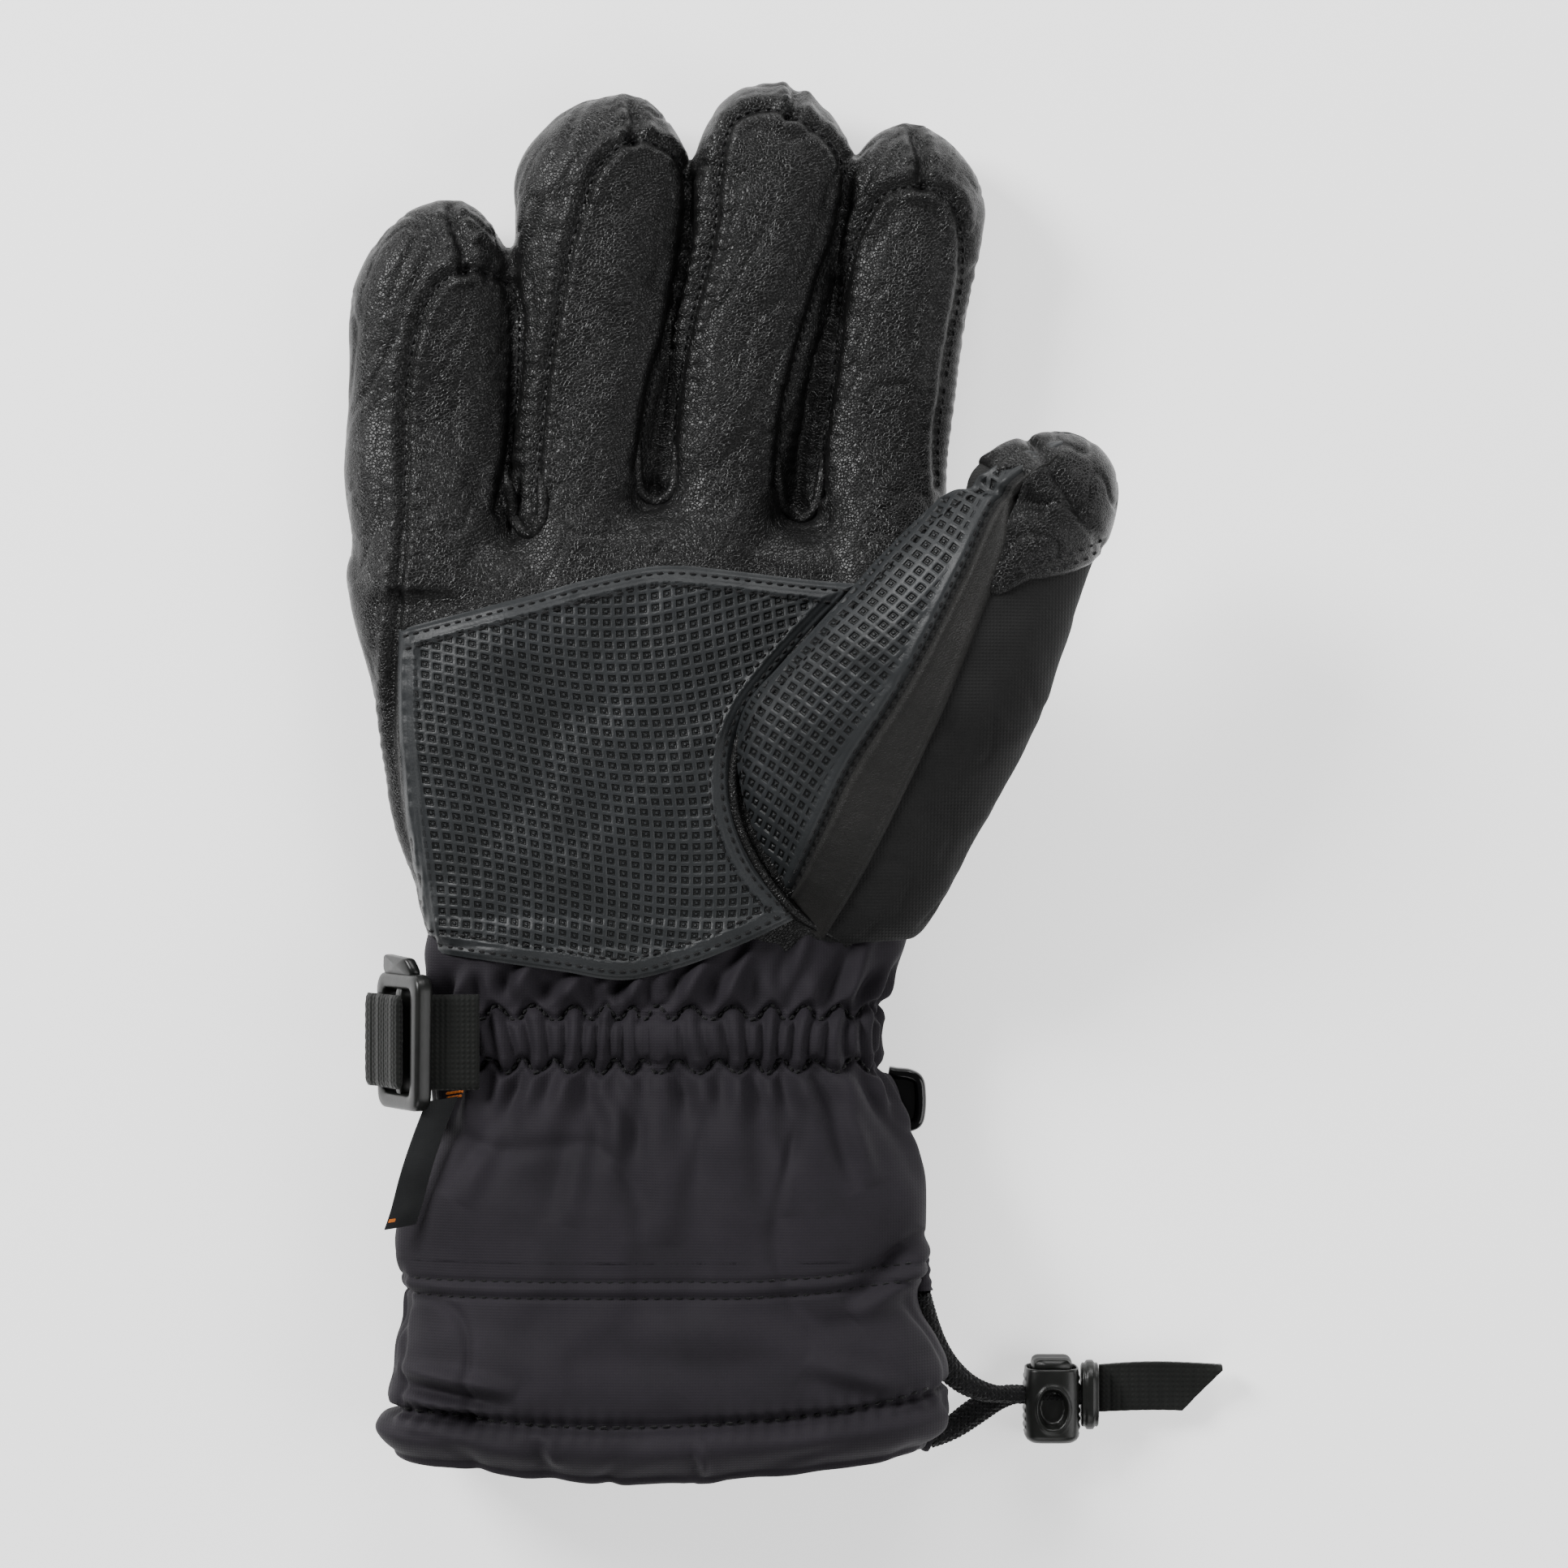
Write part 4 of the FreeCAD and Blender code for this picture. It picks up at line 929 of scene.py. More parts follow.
# The leather cap over the thumb's tip: its lower edge runs from the strip round to the back.
CAP_ANGLES = np.linspace(-np.pi + 0.9, np.pi + 0.9, 180 // fine)
CAP_START = [
    (-2.3, 62), (-1.2, 58), (-0.6, 58.5), (0, 58.5), (0.6, 54), (1.2, 47), (1.62, 42), (1.85, 60),
    (2.4, 62), (4.1, 62),
]
cap_low = smooth_curve(CAP_START, CAP_ANGLES)[:, 0]
cap_share = np.sin(np.linspace(0, np.pi / 2, 80 // fine))[:, None]
cap_along = cap_low + (THUMB_BODY + THUMB_TIP - 0.02 - cap_low) * cap_share
cap_angle = np.broadcast_to(CAP_ANGLES, cap_along.shape)
cap_points = thumb_surface(cap_along, cap_angle)
cap_normals = thumb_normals(cap_along, cap_angle)
cap_edge = cap_along - cap_low
cap_relief = thumb_relief(cap_points) + 1.0 * (1 - bell(cap_edge, 1.0)) - 0.5 * bell(cap_edge, 0.5)
cap_relief += 0.5 * creases(cap_points, 6, 3.0) * ramp(cap_edge, 6)
cap_surface = grid_relief(cap_points, cap_normals, cap_relief)
thumb_cap = grid_object("thumb_cap", cap_surface)
finish_thumb(thumb_cap, "upper", LEATHER, "leather", "thumb_palm_panel_upper")

# ---------------------------------------------------------------- the palm patch

PATCH_LEFT = [(-50.9, -35.2), (-53.2, -18), (-55, 0), (-56, 16), (-55.9, 32.5)]
PATCH_RIGHT = [(29, -27.6), (19, -17), (14.6, -6), (14, 4), (17, 14), (23, 22.5), (31, 31.5), (41, 42)]
PATCH_LOW = [
    (-50.9, -35.2), (-37.9, -36.9), (-21.5, -39.2), (-7.5, -41), (3, -38.6), (13.8, -34.6), (29, -27.6),
]
PATCH_HIGH = [
    (-55.9, 32.5), (-42, 36), (-29.3, 39.2), (-12, 43.8), (0, 45.9), (13.8, 44.8), (29.3, 43), (41, 42),
]


def even_line(points, count):
    """A smooth curve through points, cut into evenly spaced ones."""
    curve = smooth_line(points, 0.5)
    along = lengths_along(curve)
    return read_line(curve, along, np.linspace(0, along[-1], count))


def filled_plan(low, high, left, right, rows, columns):
    """A grid of points in plan that fills the shape between four side lines."""
    u = np.linspace(0, 1, columns)[None, :, None]
    v = np.linspace(0, 1, rows)[:, None, None]
    low, high = even_line(low, columns)[None], even_line(high, columns)[None]
    left, right = even_line(left, rows)[:, None], even_line(right, rows)[:, None]
    straight = (1 - v) * low + v * high + (1 - u) * left + u * right
    corners_part = (
        (1 - v) * ((1 - u) * low[:, :1] + u * low[:, -1:])
        + v * ((1 - u) * high[:, :1] + u * high[:, -1:])
    )
    return straight - corners_part


plan = filled_plan(PATCH_LOW, PATCH_HIGH, PATCH_LEFT, PATCH_RIGHT, 240 // fine, 250 // fine)
border = np.concatenate(
    [even_line(line, 120) for line in (PATCH_LOW, PATCH_RIGHT, PATCH_HIGH[::-1], PATCH_LEFT[::-1])]
)


def height_table(tree, low, high, step):
    """Heights of a surface over a plan grid, which can then be read smoothly."""
    xs = np.arange(low[0], high[0] + step, step)
    ys = np.arange(low[1], high[1] + step, step)
    grid = np.stack(np.meshgrid(xs, ys, indexing="ij"), axis=-1)
    heights, _ = dropped(grid.reshape(-1, 2), tree)
    return heights.reshape(len(xs), len(ys)), low, step


def read_height(table, xy):
    """Heights from such a table at points in plan."""
    heights, low, step = table
    spots = (xy - np.array(low)) / step
    cell = np.clip(np.floor(spots).astype(int), 0, np.array(heights.shape) - 2)
    part = np.clip(spots - cell, 0, 1)
    i, j = cell[..., 0], cell[..., 1]
    u, v = part[..., 0], part[..., 1]
    return (
        heights[i, j] * (1 - u) * (1 - v) + heights[i + 1, j] * u * (1 - v)
        + heights[i, j + 1] * (1 - u) * v + heights[i + 1, j + 1] * u * v
    )


PALM_TABLE = height_table(skin_tree, (-72, -44), (66, 150), 1.5)
patch_edge, _ = near_line(plan, np.concatenate([border, border[:1]]))
sunk_y = np.maximum(plan[..., 1], -34)
patch_high = read_height(PALM_TABLE, np.stack([plan[..., 0], sunk_y], axis=-1))
patch_high = patch_high + np.minimum(plan[..., 1] + 34, 0) * 0.02
patch_points = np.concatenate([plan, patch_high[..., None]], axis=-1)
cells = cell_values(plan, patch_edge, 3.4)
patch_lift = 1.1 * (1 - bell(patch_edge, 0.9)) + 0.3
patch_lift += 0.35 * bell(patch_edge - 3.6, 0.5) - 0.3 * bell(patch_edge - 1.7, 0.5)
patch_lift += 1.4 * rough(patch_points, 17, 2, 3.0) + 0.35 * rough(patch_points, 6, 1, 3.0)
patch_lift += square_relief(*cells)
# at the wrist the patch lies over the nylon, which the hand's own end tucks under
patch_points[..., 2] += patch_lift + 3.2 * ramp(-28 - plan[..., 1], 7)
palm_patch = grid_object("palm_patch_skin", patch_points)
set_attribute(palm_patch, "cells", np.stack(cells, axis=-1))
dress(palm_patch, EMBOSSED, "embossed_patch", "hand", "palm_patch")

# ---------------------------------------------------------------- sleeve: wrist, gauntlet and hem

# (y, left, right, floor, ceiling) of the nylon sleeve. Left and right were measured from the
# outline at even steps and then adjusted; floor and ceiling are guesses.
SLEEVE_SHAPE = [
    (-149, -56.5, 56, 3, 41), (-146.5, -58.4, 59, 1, 43.5), (-141, -59.4, 60.5, 0.4, 45.2),
    (-136.5, -57.6, 59, 1, 43.4), (-133, -58.8, 59.5, 1, 43.6), (-126.5, -58, 59.4, 0.8, 43.5),
    (-119.6, -57.6, 57, 0.8, 42.4), (-112.7, -56, 53.4, 1, 41), (-106, -56.2, 52.2, 1, 40.2),
    (-99, -57, 53.6, 1, 39.8), (-92, -56.6, 54.6, 1, 39.4), (-85, -55.2, 54.6, 1.4, 38.6),
    (-78, -53.2, 52.8, 2, 37.4), (-71.4, -50.6, 50.6, 2.6, 35.8), (-64.5, -48.6, 47.4, 3, 34.2),
    (-59, -47.2, 45.2, 3.4, 32.4), (-53.5, -47.2, 44.8, 3.2, 33.2), (-48, -48, 45.6, 3.2, 31.8),
    (-42, -49.4, 47.6, 3, 32), (-36, -50.6, 50.6, 2.4, 31.6), (-30, -50, 52.6, 2.2, 30.8),
    (-22, -49, 55.2, 3, 30),
]


# along the glove: the two zigzag rows over the wrist elastic and the two stitch rows of the cuff
ELASTIC_ROWS = (-48, -59.2)
CUFF_ROWS = (-103.6, -107.0)


def sleeve_surface(y, columns):
    """Sections of the sleeve, before its pleats and folds."""
    left, right, low, high = smooth_curve(SLEEVE_SHAPE, y).T
    return tube_points(y, (left + right) / 2, (right - left) / 2, low, high, 2.9, columns)


def pleat_wave(turn, y):
    """The pleats' wave round the wrist, and how it wanders."""
    wobble = 1.1 * np.sin(turn * 3 + 1) + 0.6 * np.sin(turn * 7.3)
    return np.sin(turn * 30 + wobble + 0.8 * np.sin(y / 5.5 + turn * 5)), wobble


def gathers(points, turn):
    """Pleats drawn in by the two rows of elastic, fading up to the palm and down the cuff."""
    y = points[..., 1]
    wave, wobble = pleat_wave(turn, y)
    spread = ramp(-59 - y, 40)
    long_wave = np.sin(turn * 15 + 2 * wobble + 0.5 * spread + 0.03 * y)
    between = band_of(y, -60, -47, 2.5)
    relief = 1.7 * (np.abs(wave) ** 1.2 - 0.2) * between
    relief += 1.6 * (wave + 0.1) * bell(y + 64.0, 5.0)
    relief += 1.5 * (wave - 0.1) * bell(y + 43.5, 4.0)
    relief += 1.9 * long_wave * bell(y + 71, 10.0)
    relief -= 1.7 * bell(y - ELASTIC_ROWS[0] - 1.5 * wave, 1.0)
    relief -= 1.7 * bell(y - ELASTIC_ROWS[1] + 1.5 * wave, 1.0)
    return relief


def draw_fold(points, start, end, depth, width):
    """One soft fold from start to end in plan: a ridge with a valley beside it."""
    distance, along = near_line(points[..., :2], np.array([start, end], float))
    length = np.linalg.norm(np.subtract(end, start))
    span = np.sin(np.pi * ramp(along, length)) ** 0.7
    side = (
        (end[0] - start[0]) * (points[..., 1] - start[1])
        - (end[1] - start[1]) * (points[..., 0] - start[0])
    )
    signed = distance * np.sign(side)
    value = depth * bell(signed, width) - 0.8 * depth * bell(signed + 1.7 * width, width)
    return 1.35 * value * span * (points[..., 2] > 18)


CUFF_FOLDS = [
    ((-24, -33), (-34, -47), 1.3, 1.7), ((-14, -38), (-27, -49), 1.2, 1.6),
    ((-2, -39), (-14, -50), 1.2, 1.5), ((10, -36), (0, -49), 1.2, 1.5),
    ((20, -32), (11, -48), 1.1, 1.5), ((31, -29), (25, -47), 1.2, 1.7),
    ((-40, -38), (-44, -50), 1.3, 1.6), ((44, -30), (38, -47), 1.2, 1.8),
    ((-30, -64), (-42, -88), 1.3, 2.4), ((-14, -64), (-20, -92), 1.0, 2.6),
    ((4, -65), (0, -96), 1.0, 3.0), ((22, -64), (26, -90), 1.0, 2.6),
    ((36, -62), (44, -84), 1.3, 2.2), ((54, -101), (40, -112), 2.2, 2.6),
    ((56, -96), (48, -104), 1.6, 1.8), ((-57, -124), (-30, -129), 2.0, 2.2),
    ((-56, -131), (-36, -134), 1.5, 1.5), ((30, -121), (50, -130), 1.1, 2.6),
    ((-20, -112), (30, -116), 0.8, 5.0), ((8, -140), (9, -149), 1.0, 1.2),
    ((-24, -139), (-22, -147), 0.8, 1.4),
]


def cuff_rise(x):
    """How much higher the cuff's seam lies towards the thumb side."""
    return 3.6 * ramp(x - 10, 45) ** 2


def hem_seam(x):
    """The height of the seam over the hem."""
    return -136 + 5.0 * ramp(x - 20, 42) ** 2 - 1.5 * bell(x + 10, 26)


def raised_all(y):
    """How far the whole lower cuff is drawn up."""
    return 6.0 * ramp(-110 - y, 39)


def raised_right(x, y):
    """How far more it is drawn up at the thumb side."""
    return ramp(-120 - y, 28) * ramp(x - 12, 46) ** 1.5 * 4.5


def raised_left(x, y):
    """How far more it is drawn up at the little-finger side."""
    return ramp(-130 - y, 18) * ramp(-x - 30, 30) * 5.0


def sleeve_relief(points, turn):
    """Pleats, lumps, folds and seams of the nylon, in millimetres."""
    x, y = points[..., 0], points[..., 1]
    relief = gathers(points, turn)
    relief += 2.0 * rough(points, 30, 2, 11.0) + 1.2 * rough(points, 13, 2, 14.0)
    relief += 0.9 * creases(points * np.array([1, 0.55, 1]), 17, 3.0) * ramp(-66 - y, 8)
    for start, end, depth, width in CUFF_FOLDS:
        relief += draw_fold(points, start, end, depth, width)
    rise = cuff_rise(x)
    relief += 0.7 * bell(y + 105.2 - rise, 0.8) * 0.6
    relief -= 0.8 * bell(y - CUFF_ROWS[1] - rise, 0.5)
    relief -= 0.5 * bell(y - CUFF_ROWS[0] - rise, 0.5)
    hem = hem_seam(x)
    pucker = 0.35 * np.sin(x * 1.9) * bell(y - hem, 3.5)
    relief -= 1.7 * bell(y - hem, 1.3)
    relief += 0.9 * bell(y - hem + 5.5, 3.2) + pucker
    side = bell(x + 55.5, 0.9) * (points[..., 2] > 22)
    relief -= 0.9 * side * band_of(y, -136, -100, 4)
    return relief


SLEEVE_COLUMNS = 620
# how far round the wrist each column lies, by length, as an angle
sleeve_section = sleeve_surface(np.array([-54.0]), SLEEVE_COLUMNS)[0]
sleeve_steps = np.linalg.norm(np.diff(sleeve_section, axis=0, append=sleeve_section[:1]), axis=1)
sleeve_turn = 2 * np.pi * np.concatenate([[0], np.cumsum(sleeve_steps)[:-1]]) / sleeve_steps.sum()


def sleeve_grid(low, high, step):
    """The finished surface of the sleeve from low to high, rows about step apart."""
    y = np.linspace(low, high, max(8, int((high - low) / (step * fine))))
    points = sleeve_surface(y, SLEEVE_COLUMNS)
    normals = grid_normals(points, closed=True)
    outside = points - np.array([0, 0, 20.0])
    if np.sum(normals * outside * np.array([1, 0, 1])) < 0:
        normals = -normals
    turn = np.broadcast_to(sleeve_turn, points.shape[:2])
    points = grid_relief(points, normals, sleeve_relief(points, turn))
    points[..., 1] += raised_all(points[..., 1])
    points[..., 1] -= ramp(-136 - points[..., 1], 12) * bell(points[..., 0] + 18, 24) * 1.6
    points[..., 1] += raised_right(points[..., 0], points[..., 1])
    points[..., 1] += raised_left(points[..., 0], points[..., 1])
    points[..., 2] = np.maximum(points[..., 2], 0.1)
    return points


def cloth_piece(name, points, body, nodes, slot="nylon", material=NYLON):
    """A closed piece of the sleeve, attached to the gauntlet or, across the wrist, left unattached."""
    item = dress(grid_object(name, points, closed=True, flip=True), material, slot)
    if body == "wrist":
        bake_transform(item)
    else:
        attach(item, "gauntlet")
    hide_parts(*nodes)


wrist_points = sleeve_grid(-100.0, -22.0, 0.42)
cloth_piece(
    "gauntlet_upper_skin", wrist_points, "wrist",
    ["gauntlet_palm_side", "gauntlet_back_side", "wrist_elastic"],
)
skirt_points = sleeve_grid(-137.3, -99.4, 0.5)
cloth_piece("gauntlet_skirt_skin", skirt_points, "gauntlet", ["gauntlet_skirt"])
hem_points = sleeve_grid(-149.0, -136.5, 0.45)
# the hem turns in and runs back up as the inside face of the cuff
last = hem_points[0]
centre = np.array([0, -149.0, 22.0])
turns = []
for share in np.linspace(0, 1, 12)[1:]:
    angle = share * np.pi
    inward = (centre - last) * np.array([1, 0, 1])
    inward = unit(inward)
    step = last + inward * 1.8 * (1 - np.cos(angle)) + np.array([0, -1.6, 0]) * np.sin(angle)
    turns.append(step)
hem_points = np.concatenate([np.array(turns[::-1]), hem_points])
hem_points[..., 2] = np.maximum(hem_points[..., 2], 0.1)
cloth_piece("hem_skin", hem_points, "gauntlet", ["hem_channel"])
inner = turns[-1]
lining_rows = []
for y_shift in np.linspace(0, 66, 40):
    spot = inner.copy()
    spot[:, 1] += y_shift
    pull = ramp(y_shift, 90)
    spot[:, 0] *= 1 - 0.2 * pull
    spot[:, 2] = 20 + (spot[:, 2] - 20) * (1 - 0.42 * pull)
    lining_rows.append(spot)
lining_points = np.array(lining_rows)
lining_points = lining_points + 1.2 * rough(lining_points, 16, 2, 21.0)[..., None] * np.array([0.4, 0, 1])
cloth_piece("gauntlet_lining_skin", lining_points, "gauntlet", ["gauntlet_lining"], "lining", LINING)

# ---------------------------------------------------------------- stitches and piping


def grid_tree(*grids):
    """A ray-cast tree over open grids of points."""
    vertices, faces, start = [], [], 0
    for points, closed in grids:
        rows, columns = points.shape[:2]
        vertices.append(points.reshape(-1, 3))
        faces.append(grid_faces(rows, columns, closed) + start)
        start += rows * columns
    return BVHTree.FromPolygons(
        [Vector(v) for v in np.concatenate(vertices)], [tuple(f) for f in np.concatenate(faces)],
    )


def capsules(centres, directions, normals, length, radius):
    """Small rounded bars, one for each centre, as (vertices, faces)."""
    directions = unit(directions, TINY)
    sideways = np.cross(normals, directions)
    sideways = unit(sideways, TINY)
    up = np.cross(directions, sideways)
    stations = np.array([-0.5, -0.38, -0.13, 0.13, 0.38, 0.5])
    widths = np.array([0.25, 0.85, 1.0, 1.0, 0.85, 0.25])
    arch = np.array([-0.5, 0.0, 0.35, 0.35, 0.0, -0.5])
    sides = 6
    vertices, faces = [], []
    for ring in range(6):
        for side in range(sides):
            angle = 2 * np.pi * side / sides
            vertices.append(
                centres + directions * stations[ring] * length + up * radius * (
                    arch[ring] + widths[ring] * 0.8 * np.sin(angle)
                )
                + sideways * radius * widths[ring] * np.cos(angle)
            )
    vertices = np.stack(vertices, axis=1)
    pattern = []
    for ring in range(5):
        for side in range(sides):
            a, b = ring * sides + side, ring * sides + (side + 1) % sides
            pattern.append((a, b, b + sides, a + sides))
    pattern = np.array(pattern)
    faces = (np.arange(len(centres)) * 36)[:, None, None] + pattern[None]
    return vertices.reshape(-1, 3), faces.reshape(-1, 4)


def stitch_rows(name, rows, tree, pitch, length, radius, sink=0.1, material=THREAD):
    """Rows of stitches that follow lines drawn in plan over a surface."""
    centres, directions, normals = [], [], []
    for row in rows:
        curve = smooth_line(row, 0.4)
        along = lengths_along(curve)
        places = np.arange(pitch / 2, along[-1], pitch)
        spots, ahead = (read_line(curve[:, :2], along, at) for at in (places, places + 0.4))
        high, normal = dropped(spots, tree)
        next_high, _ = dropped(ahead, tree)
        kept = high > 0.5
        centre = np.column_stack([spots, high]) + normal * (radius * 0.5 - sink)
        step = np.column_stack([ahead - spots, next_high - high])
        centres.append(centre[kept])
        directions.append(step[kept])
        normals.append(normal[kept])
    bars = (np.concatenate(values) for values in (centres, directions, normals))
    return dress(quad_object(name, *capsules(*bars, length, radius)), material, "cord")


def offset_line(line, distance):
    """A line moved sideways, to its left when positive."""
    curve = smooth_line(line, 1.0)
    heading = np.gradient(curve, axis=0)
    heading = unit(heading)
    return curve + distance * np.column_stack([-heading[:, 1], heading[:, 0]])


patch_tree = grid_tree((patch_points, False))
patch_rows = [offset_line(PATCH_HIGH, inset) for inset in (-1.7, -4.4)]
patch_rows += [offset_line(PATCH_LOW, inset) for inset in (1.7, 4.4)]
patch_rows += [offset_line(PATCH_RIGHT[:7], inset) for inset in (1.7, 4.2)]
patch_stitches = stitch_rows("palm_patch_stitches", patch_rows, patch_tree, 2.3, 1.5, 0.3)
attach(patch_stitches, "hand")

sleeve_tree = grid_tree((wrist_points, True), (skirt_points, True), (hem_points, True))


def shifted(y):
    """Where a row that starts at a height on the sleeve ends up, as the cuff's lower right lifts."""
    x = np.linspace(-53, 53, 60)
    lift = cuff_rise(x)
    down = raised_right(x, y)
    down += raised_all(y)
    down += raised_left(x, y)
    return np.column_stack([x, y + lift + down])


cuff_rows = [shifted(y) for y in CUFF_ROWS]
cuff_stitches = stitch_rows("cuff_seam_stitches", cuff_rows, sleeve_tree, 2.4, 1.5, 0.24)
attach(cuff_stitches, "gauntlet")
x = np.linspace(-55, 57, 70)
hem_row = hem_seam(x)
hem_row = hem_row + 4.0 + ramp(x - 12, 46) ** 1.5 * 2.6 + 1.7 * ramp(-x - 30, 30)
hem_stitches = stitch_rows("hem_stitches", [np.column_stack([x, hem_row])], sleeve_tree, 2.6, 1.7, 0.3)
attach(hem_stitches, "gauntlet")
zigzags = []
palm_side = slice(1, SLEEVE_COLUMNS // 2)
palm_side_turns = (sleeve_section[palm_side, 0][::-1], sleeve_turn[palm_side][::-1])
for y, sign in ((ELASTIC_ROWS[0], 1), (ELASTIC_ROWS[1], -1)):
    x = np.linspace(-40, 43, 260)
    turn = np.interp(x, *palm_side_turns)
    wave, _ = pleat_wave(turn, y)
    zigzags.append(np.column_stack([x, y + sign * 1.5 * wave]))
zigzag_stitches = stitch_rows("wrist_zigzag_stitches", zigzags, sleeve_tree, 1.75, 1.45, 0.34, sink=-0.05)
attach(zigzag_stitches, "gauntlet")

# finger seams: small pulled stitches in the valley of each front panel's seam
for number, name in enumerate(FINGERS):
    base, along, length = FOLDS[name]
    line = smooth_line(SEAMS[number], 0.5)
    forward = (np.column_stack([line, np.full(len(line), base[2])]) - base) @ along
    for part in ("lower", "upper"):
        kept = forward > UPPER_FROM * length
        if part == "lower":
            kept = (forward > -KNUCKLE_REACH) & ~kept
        runs = np.split(np.arange(len(line)), np.where(np.diff(kept.astype(int)) != 0)[0] + 1)
        rows = [line[run] for run in runs if kept[run[0]] and len(run) > 12]
        item = stitch_rows(name + "_seam_stitches_" + part, rows, skin_tree, 2.2, 1.3, 0.26, sink=-0.05)
        bend_digit(item)

# thumb stitches: along the strip, the patch's edges and the cap's lower edge
thumb_panels = []
for low, high in ((-37.0, 18.0), (18.0, 75.0)):
    for left, right, columns, lift in ((PATCH_SIDE, STRIP_LEFT, 60, 0.5), (STRIP_LEFT, STRIP_RIGHT, 40, 0.9)):
        points, normals, relief, _ = overlay_grid(low, high, left, right, 120, columns, lift)
        thumb_panels.append((grid_relief(points, normals, relief), False))
thumb_tree = grid_tree(*thumb_panels, (cap_surface, False))


def thumb_plan(line, shift=0.0):
    """A line given along and beside the thumb, as points in plan."""
    places = np.array(line, float)
    return THUMB_START + places[:, :1] * THUMB_AXIS + (places[:, 1:] + shift) * THUMB_ASIDE


def cut_line(line, low, high):
    """The stretch of a line whose first coordinate lies between two values."""
    curve = smooth_line(line, 1.0)
    return curve[(curve[:, 0] >= low) & (curve[:, 0] <= high)]


for part, low, high in (("lower", -34, 18), ("upper", 18, 58)):
    rows = [
        thumb_plan(cut_line(PATCH_SIDE, low, high), 3.0),
        thumb_plan(cut_line(STRIP_LEFT, low, high), -1.3),
    ]
    if part == "upper":
        # two rows along the lower edge of the tip cap
        for step in (2.2, 5.0):
            cap_rows = []
            for share in np.linspace(0, 1, 12):
                angle = 0.1 + share * 1.5
                place = float(smooth_curve(CAP_START, np.array([angle]))[0, 0]) + step
                spot = thumb_surface(np.array([place]), np.array([angle]))[0]
                cap_rows.append(spot[:2])
            rows.append(np.array(cap_rows))
    item = stitch_rows("thumb_stitches_" + part, rows, thumb_tree, 2.3, 1.4, 0.28)
    bend_digit(item)


def round_tube(name, path, radii, sides=10):
    """A round tube along a path of points with a radius at each, closed by its thin ends."""
    path = np.array(path, float)
    heading = np.gradient(path, axis=0)
    heading = unit(heading)
    reference = np.array([0, 0, 1.0])
    aside = np.cross(heading, reference)
    aside = unit(aside, TINY)
    up = np.cross(aside, heading)
    angle = np.linspace(0, 2 * np.pi, sides, endpoint=False)
    radii = np.broadcast_to(radii, len(path))
    points = path[:, None] + radii[:, None, None] * (
        aside[:, None] * np.cos(angle)[None, :, None] + up[:, None] * np.sin(angle)[None, :, None]
    )
    return grid_object(name, points, closed=True)


PIPING = [
    [(-33.6, 66), (-32.4, 60), (-31.2, 55), (-28.4, 52.6), (-26, 55.5), (-25.6, 60), (-26.4, 66)],
    [(-5.6, 72), (-6, 66), (-5.2, 61.8), (-2, 59.8), (1.4, 61.8), (2.3, 66), (2, 72)],
    [(24, 70), (24, 63), (25.4, 58), (28.4, 56), (31.6, 58.2), (33, 63), (33.4, 70)],
]
for number, line in enumerate(PIPING):
    curve = smooth_line(line, 0.5)
    high, normal = dropped(curve, skin_tree)
    middle_high = np.median(high[high > 20])
    high = np.where(high > middle_high - 5, high, middle_high - 1.0)
    high = smoothed(high)
    path = np.column_stack([curve, high - 0.1])
    share = np.linspace(0, 1, len(path))
    radii = 1.35 * np.clip(np.minimum(share, 1 - share) * 6, 0.15, 1) ** 0.5
    item = round_tube("crotch_piping_" + str(number + 1), path, radii, 12)
    dress(item, LEATHER, "leather", "hand")

# piping round the base of the thumb, where it is sewn to the palm
base_curve = smooth_line(
    [(31.5, 33), (24, 22.5), (17.4, 13), (14.8, 4), (15.2, -6), (19.8, -17), (28.5, -27.6), (37, -33)],
    0.6,
)
high, _ = dropped(base_curve, patch_tree)
other, _ = dropped(base_curve, skin_tree)
high = np.where(high > 1, high, other)
high = smoothed(high)
share = np.linspace(0, 1, len(base_curve))
radii = 1.1 * np.clip(np.minimum(share, 1 - share) * 8, 0.1, 1) ** 0.5
item = round_tube("thumb_base_piping", np.column_stack([base_curve, high + 0.5]), radii, 12)
dress(item, LEATHER, "leather", "hand")

# ---------------------------------------------------------------- webbing, buckle, clip and label


def webbing(name, path, across, width, thick, rib=1.15, deep=0.16):
    """A flat ribbed strap along a path; across is the direction of its width."""
    path = through(path, 400 // fine)
    along = lengths_along(path)
    places = np.linspace(0, along[-1], max(12, int(along[-1] / 0.22)))
    path = read_line(path, along, places)
    across = np.array(across, float) / np.linalg.norm(across)
    heading = np.gradient(path, axis=0)
    heading = unit(heading)
    up = np.cross(heading, across)
    up = unit(up)
    u = np.concatenate([np.linspace(-1, 1, 26), np.linspace(1, -1, 26)])
    side = np.concatenate([np.ones(26), -np.ones(26)])
    edge = np.sqrt(np.clip(1 - np.abs(u) ** 10, 0.02, 1))
    ribs = deep * (np.abs(np.sin(np.pi * places / rib)) - 0.5)
    cross_ribs = 0.05 * np.sin(u * width * 2.6)
    height = side[None] * (thick / 2 + ribs[:, None] + cross_ribs[None]) * edge[None]
    end = np.clip(np.minimum(places, places[-1] - places) / 0.5, 0.05, 1)[:, None]
    points = (
        path[:, None] + across * (u[None] * width / 2)[..., None]
        + up[:, None] * (height * end)[..., None]
    )
    return dress(grid_object(name, points, closed=True), WEBBING, "webbing")


TILT = math.radians(62)
BUCKLE = np.array([-54.5, -54.0, 30.5])
OUTWARD = np.array([-math.sin(TILT), 0, math.cos(TILT)])
UPWARD = np.array([math.cos(TILT), 0, math.sin(TILT)])


